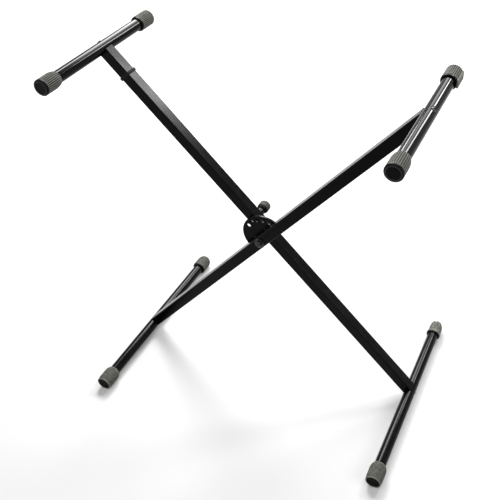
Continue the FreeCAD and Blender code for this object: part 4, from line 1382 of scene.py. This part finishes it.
def hang_lamp(name, lamp, watts, target):
    """Hang a lamp so that it faces a point."""
    light = bpy.data.lights.new(name, "AREA")
    light.shape = "RECTANGLE"
    light.size = lamp.width
    light.size_y = lamp.length
    light.energy = watts
    thing = bpy.data.objects.new(name, light)
    thing.location = lamp.place
    bpy.context.scene.collection.objects.link(thing)
    aim(thing, target, lamp.along)


def seen_directly(tree):
    """1 for rays from the camera, in reflections and through clear pieces."""
    path = tree.nodes.new("ShaderNodeLightPath")
    both = math_node(tree, "ADD", path.outputs["Is Camera Ray"], path.outputs["Is Glossy Ray"])
    return math_node(tree, "ADD", both, path.outputs["Is Transmission Ray"], clamp=True)


def white_world(light):
    """A world that lights evenly and looks white behind the floor."""
    world = bpy.data.worlds.new("Studio")
    world.use_nodes = True
    tree = world.node_tree
    background = tree.nodes["Background"]
    background.inputs["Color"].default_value = (1, 1, 1, 1)
    strength = ramp_node(tree, seen_directly(tree), 0.0, 1.0, light, 1.0)
    tree.links.new(strength, background.inputs["Strength"])
    bpy.context.scene.world = world


def floor_material(colour):
    """A pale floor that looks white to the camera and still takes shadows."""
    finish = Finish("Pale floor", roughness=0.9)
    mottle = finish.group("Mottle", broad_scale=0.7, fine_scale=300.0)
    finish.colour(finish.shaded(mottle.outputs["Broad"], colour, darkest=0.995, lightest=1.0))
    length = finish.tree.nodes.new("ShaderNodeVectorMath")
    length.operation = "LENGTH"
    finish.tree.links.new(finish.place, length.inputs[0])
    glow = ramp_node(finish.tree, length.outputs["Value"], *GLOW_DISTANCES, *FLOOR_GLOW)
    emission = math_node(finish.tree, "MULTIPLY", seen_directly(finish.tree), glow)
    finish.shader.inputs["Emission Color"].default_value = (1, 1, 1, 1)
    finish.tree.links.new(emission, finish.shader.inputs["Emission Strength"])
    return finish.material


class STAND_OT_stage(bpy.types.Operator):
    """Set up the floor, the light and the camera"""
    bl_idname = "stand.stage"
    bl_label = "Stage"

    def execute(self, context):
        stage = context.scene.stand_stage
        mesh = bmesh.new()
        bmesh.ops.create_grid(mesh, x_segments=8, y_segments=8, size=FLOOR_REACH)
        floor = finished_mesh("studio_floor", mesh)
        floor.data.materials.append(floor_material(context.scene.stand_colours.floor))
        white_world(stage.world_light)
        middle = (CAD_BOX[0] + CAD_BOX[1]) / 2
        for name, lamp in LAMPS.items():
            hang_lamp(name, lamp, getattr(stage, lamp.watts), middle)
        self.add_camera(stage)
        context.scene.view_settings.view_transform = "Standard"
        return {"FINISHED"}

    def add_camera(self, stage):
        azimuth, elevation, roll = stage.azimuth, stage.elevation, stage.roll
        back = Vector((
            math.sin(azimuth) * math.cos(elevation),
            -math.cos(azimuth) * math.cos(elevation),
            math.sin(elevation),
        ))
        level_right = Vector((math.cos(azimuth), math.sin(azimuth), 0))
        level_up = back.cross(level_right)
        right = level_right * math.cos(roll) + level_up * math.sin(roll)
        up = level_up * math.cos(roll) - level_right * math.sin(roll)
        lens = bpy.data.cameras.new("camera")
        lens.lens = stage.lens
        lens.sensor_width = 36.0
        lens.shift_x = stage.shift_x
        lens.shift_y = stage.shift_y
        lens.clip_end = 100.0
        camera = bpy.data.objects.new("camera", lens)
        axes = Matrix((right, up, back)).transposed().to_4x4()
        camera.matrix_world = Matrix.Translation(stage.camera_place) @ axes
        bpy.context.scene.collection.objects.link(camera)
        bpy.context.scene.camera = camera


class STAND_PT_panel(bpy.types.Panel):
    """Lists the steps that dress the stand"""
    bl_label = "Keyboard stand"
    bl_idname = "STAND_PT_panel"
    bl_space_type = "VIEW_3D"
    bl_region_type = "UI"
    bl_category = "Stand"

    def draw(self, context):
        for operator in OPERATORS:
            self.layout.operator(operator.bl_idname)
        for group in (
            context.scene.stand_sizes,
            context.scene.stand_colours,
            context.scene.stand_stage,
        ):
            box = self.layout.box()
            for key in group.__annotations__:
                box.prop(group, key)


OPERATORS = (
    STAND_OT_frame_finish,
    STAND_OT_bar_caps,
    STAND_OT_foot_caps,
    STAND_OT_lock,
    STAND_OT_stage,
)
CLASSES = (StandSizes, StandColours, StandStage, *OPERATORS, STAND_PT_panel)


def register():
    for cls in CLASSES:
        bpy.utils.register_class(cls)
    bpy.types.Scene.stand_sizes = PointerProperty(type=StandSizes)
    bpy.types.Scene.stand_colours = PointerProperty(type=StandColours)
    bpy.types.Scene.stand_stage = PointerProperty(type=StandStage)


def unregister():
    del bpy.types.Scene.stand_stage
    del bpy.types.Scene.stand_colours
    del bpy.types.Scene.stand_sizes
    for cls in reversed(CLASSES):
        bpy.utils.unregister_class(cls)


def main():
    register()
    bpy.ops.stand.frame_finish()
    bpy.ops.stand.bar_caps()
    bpy.ops.stand.foot_caps()
    bpy.ops.stand.lock()
    bpy.ops.stand.stage()


if __name__ == "__main__":
    main()
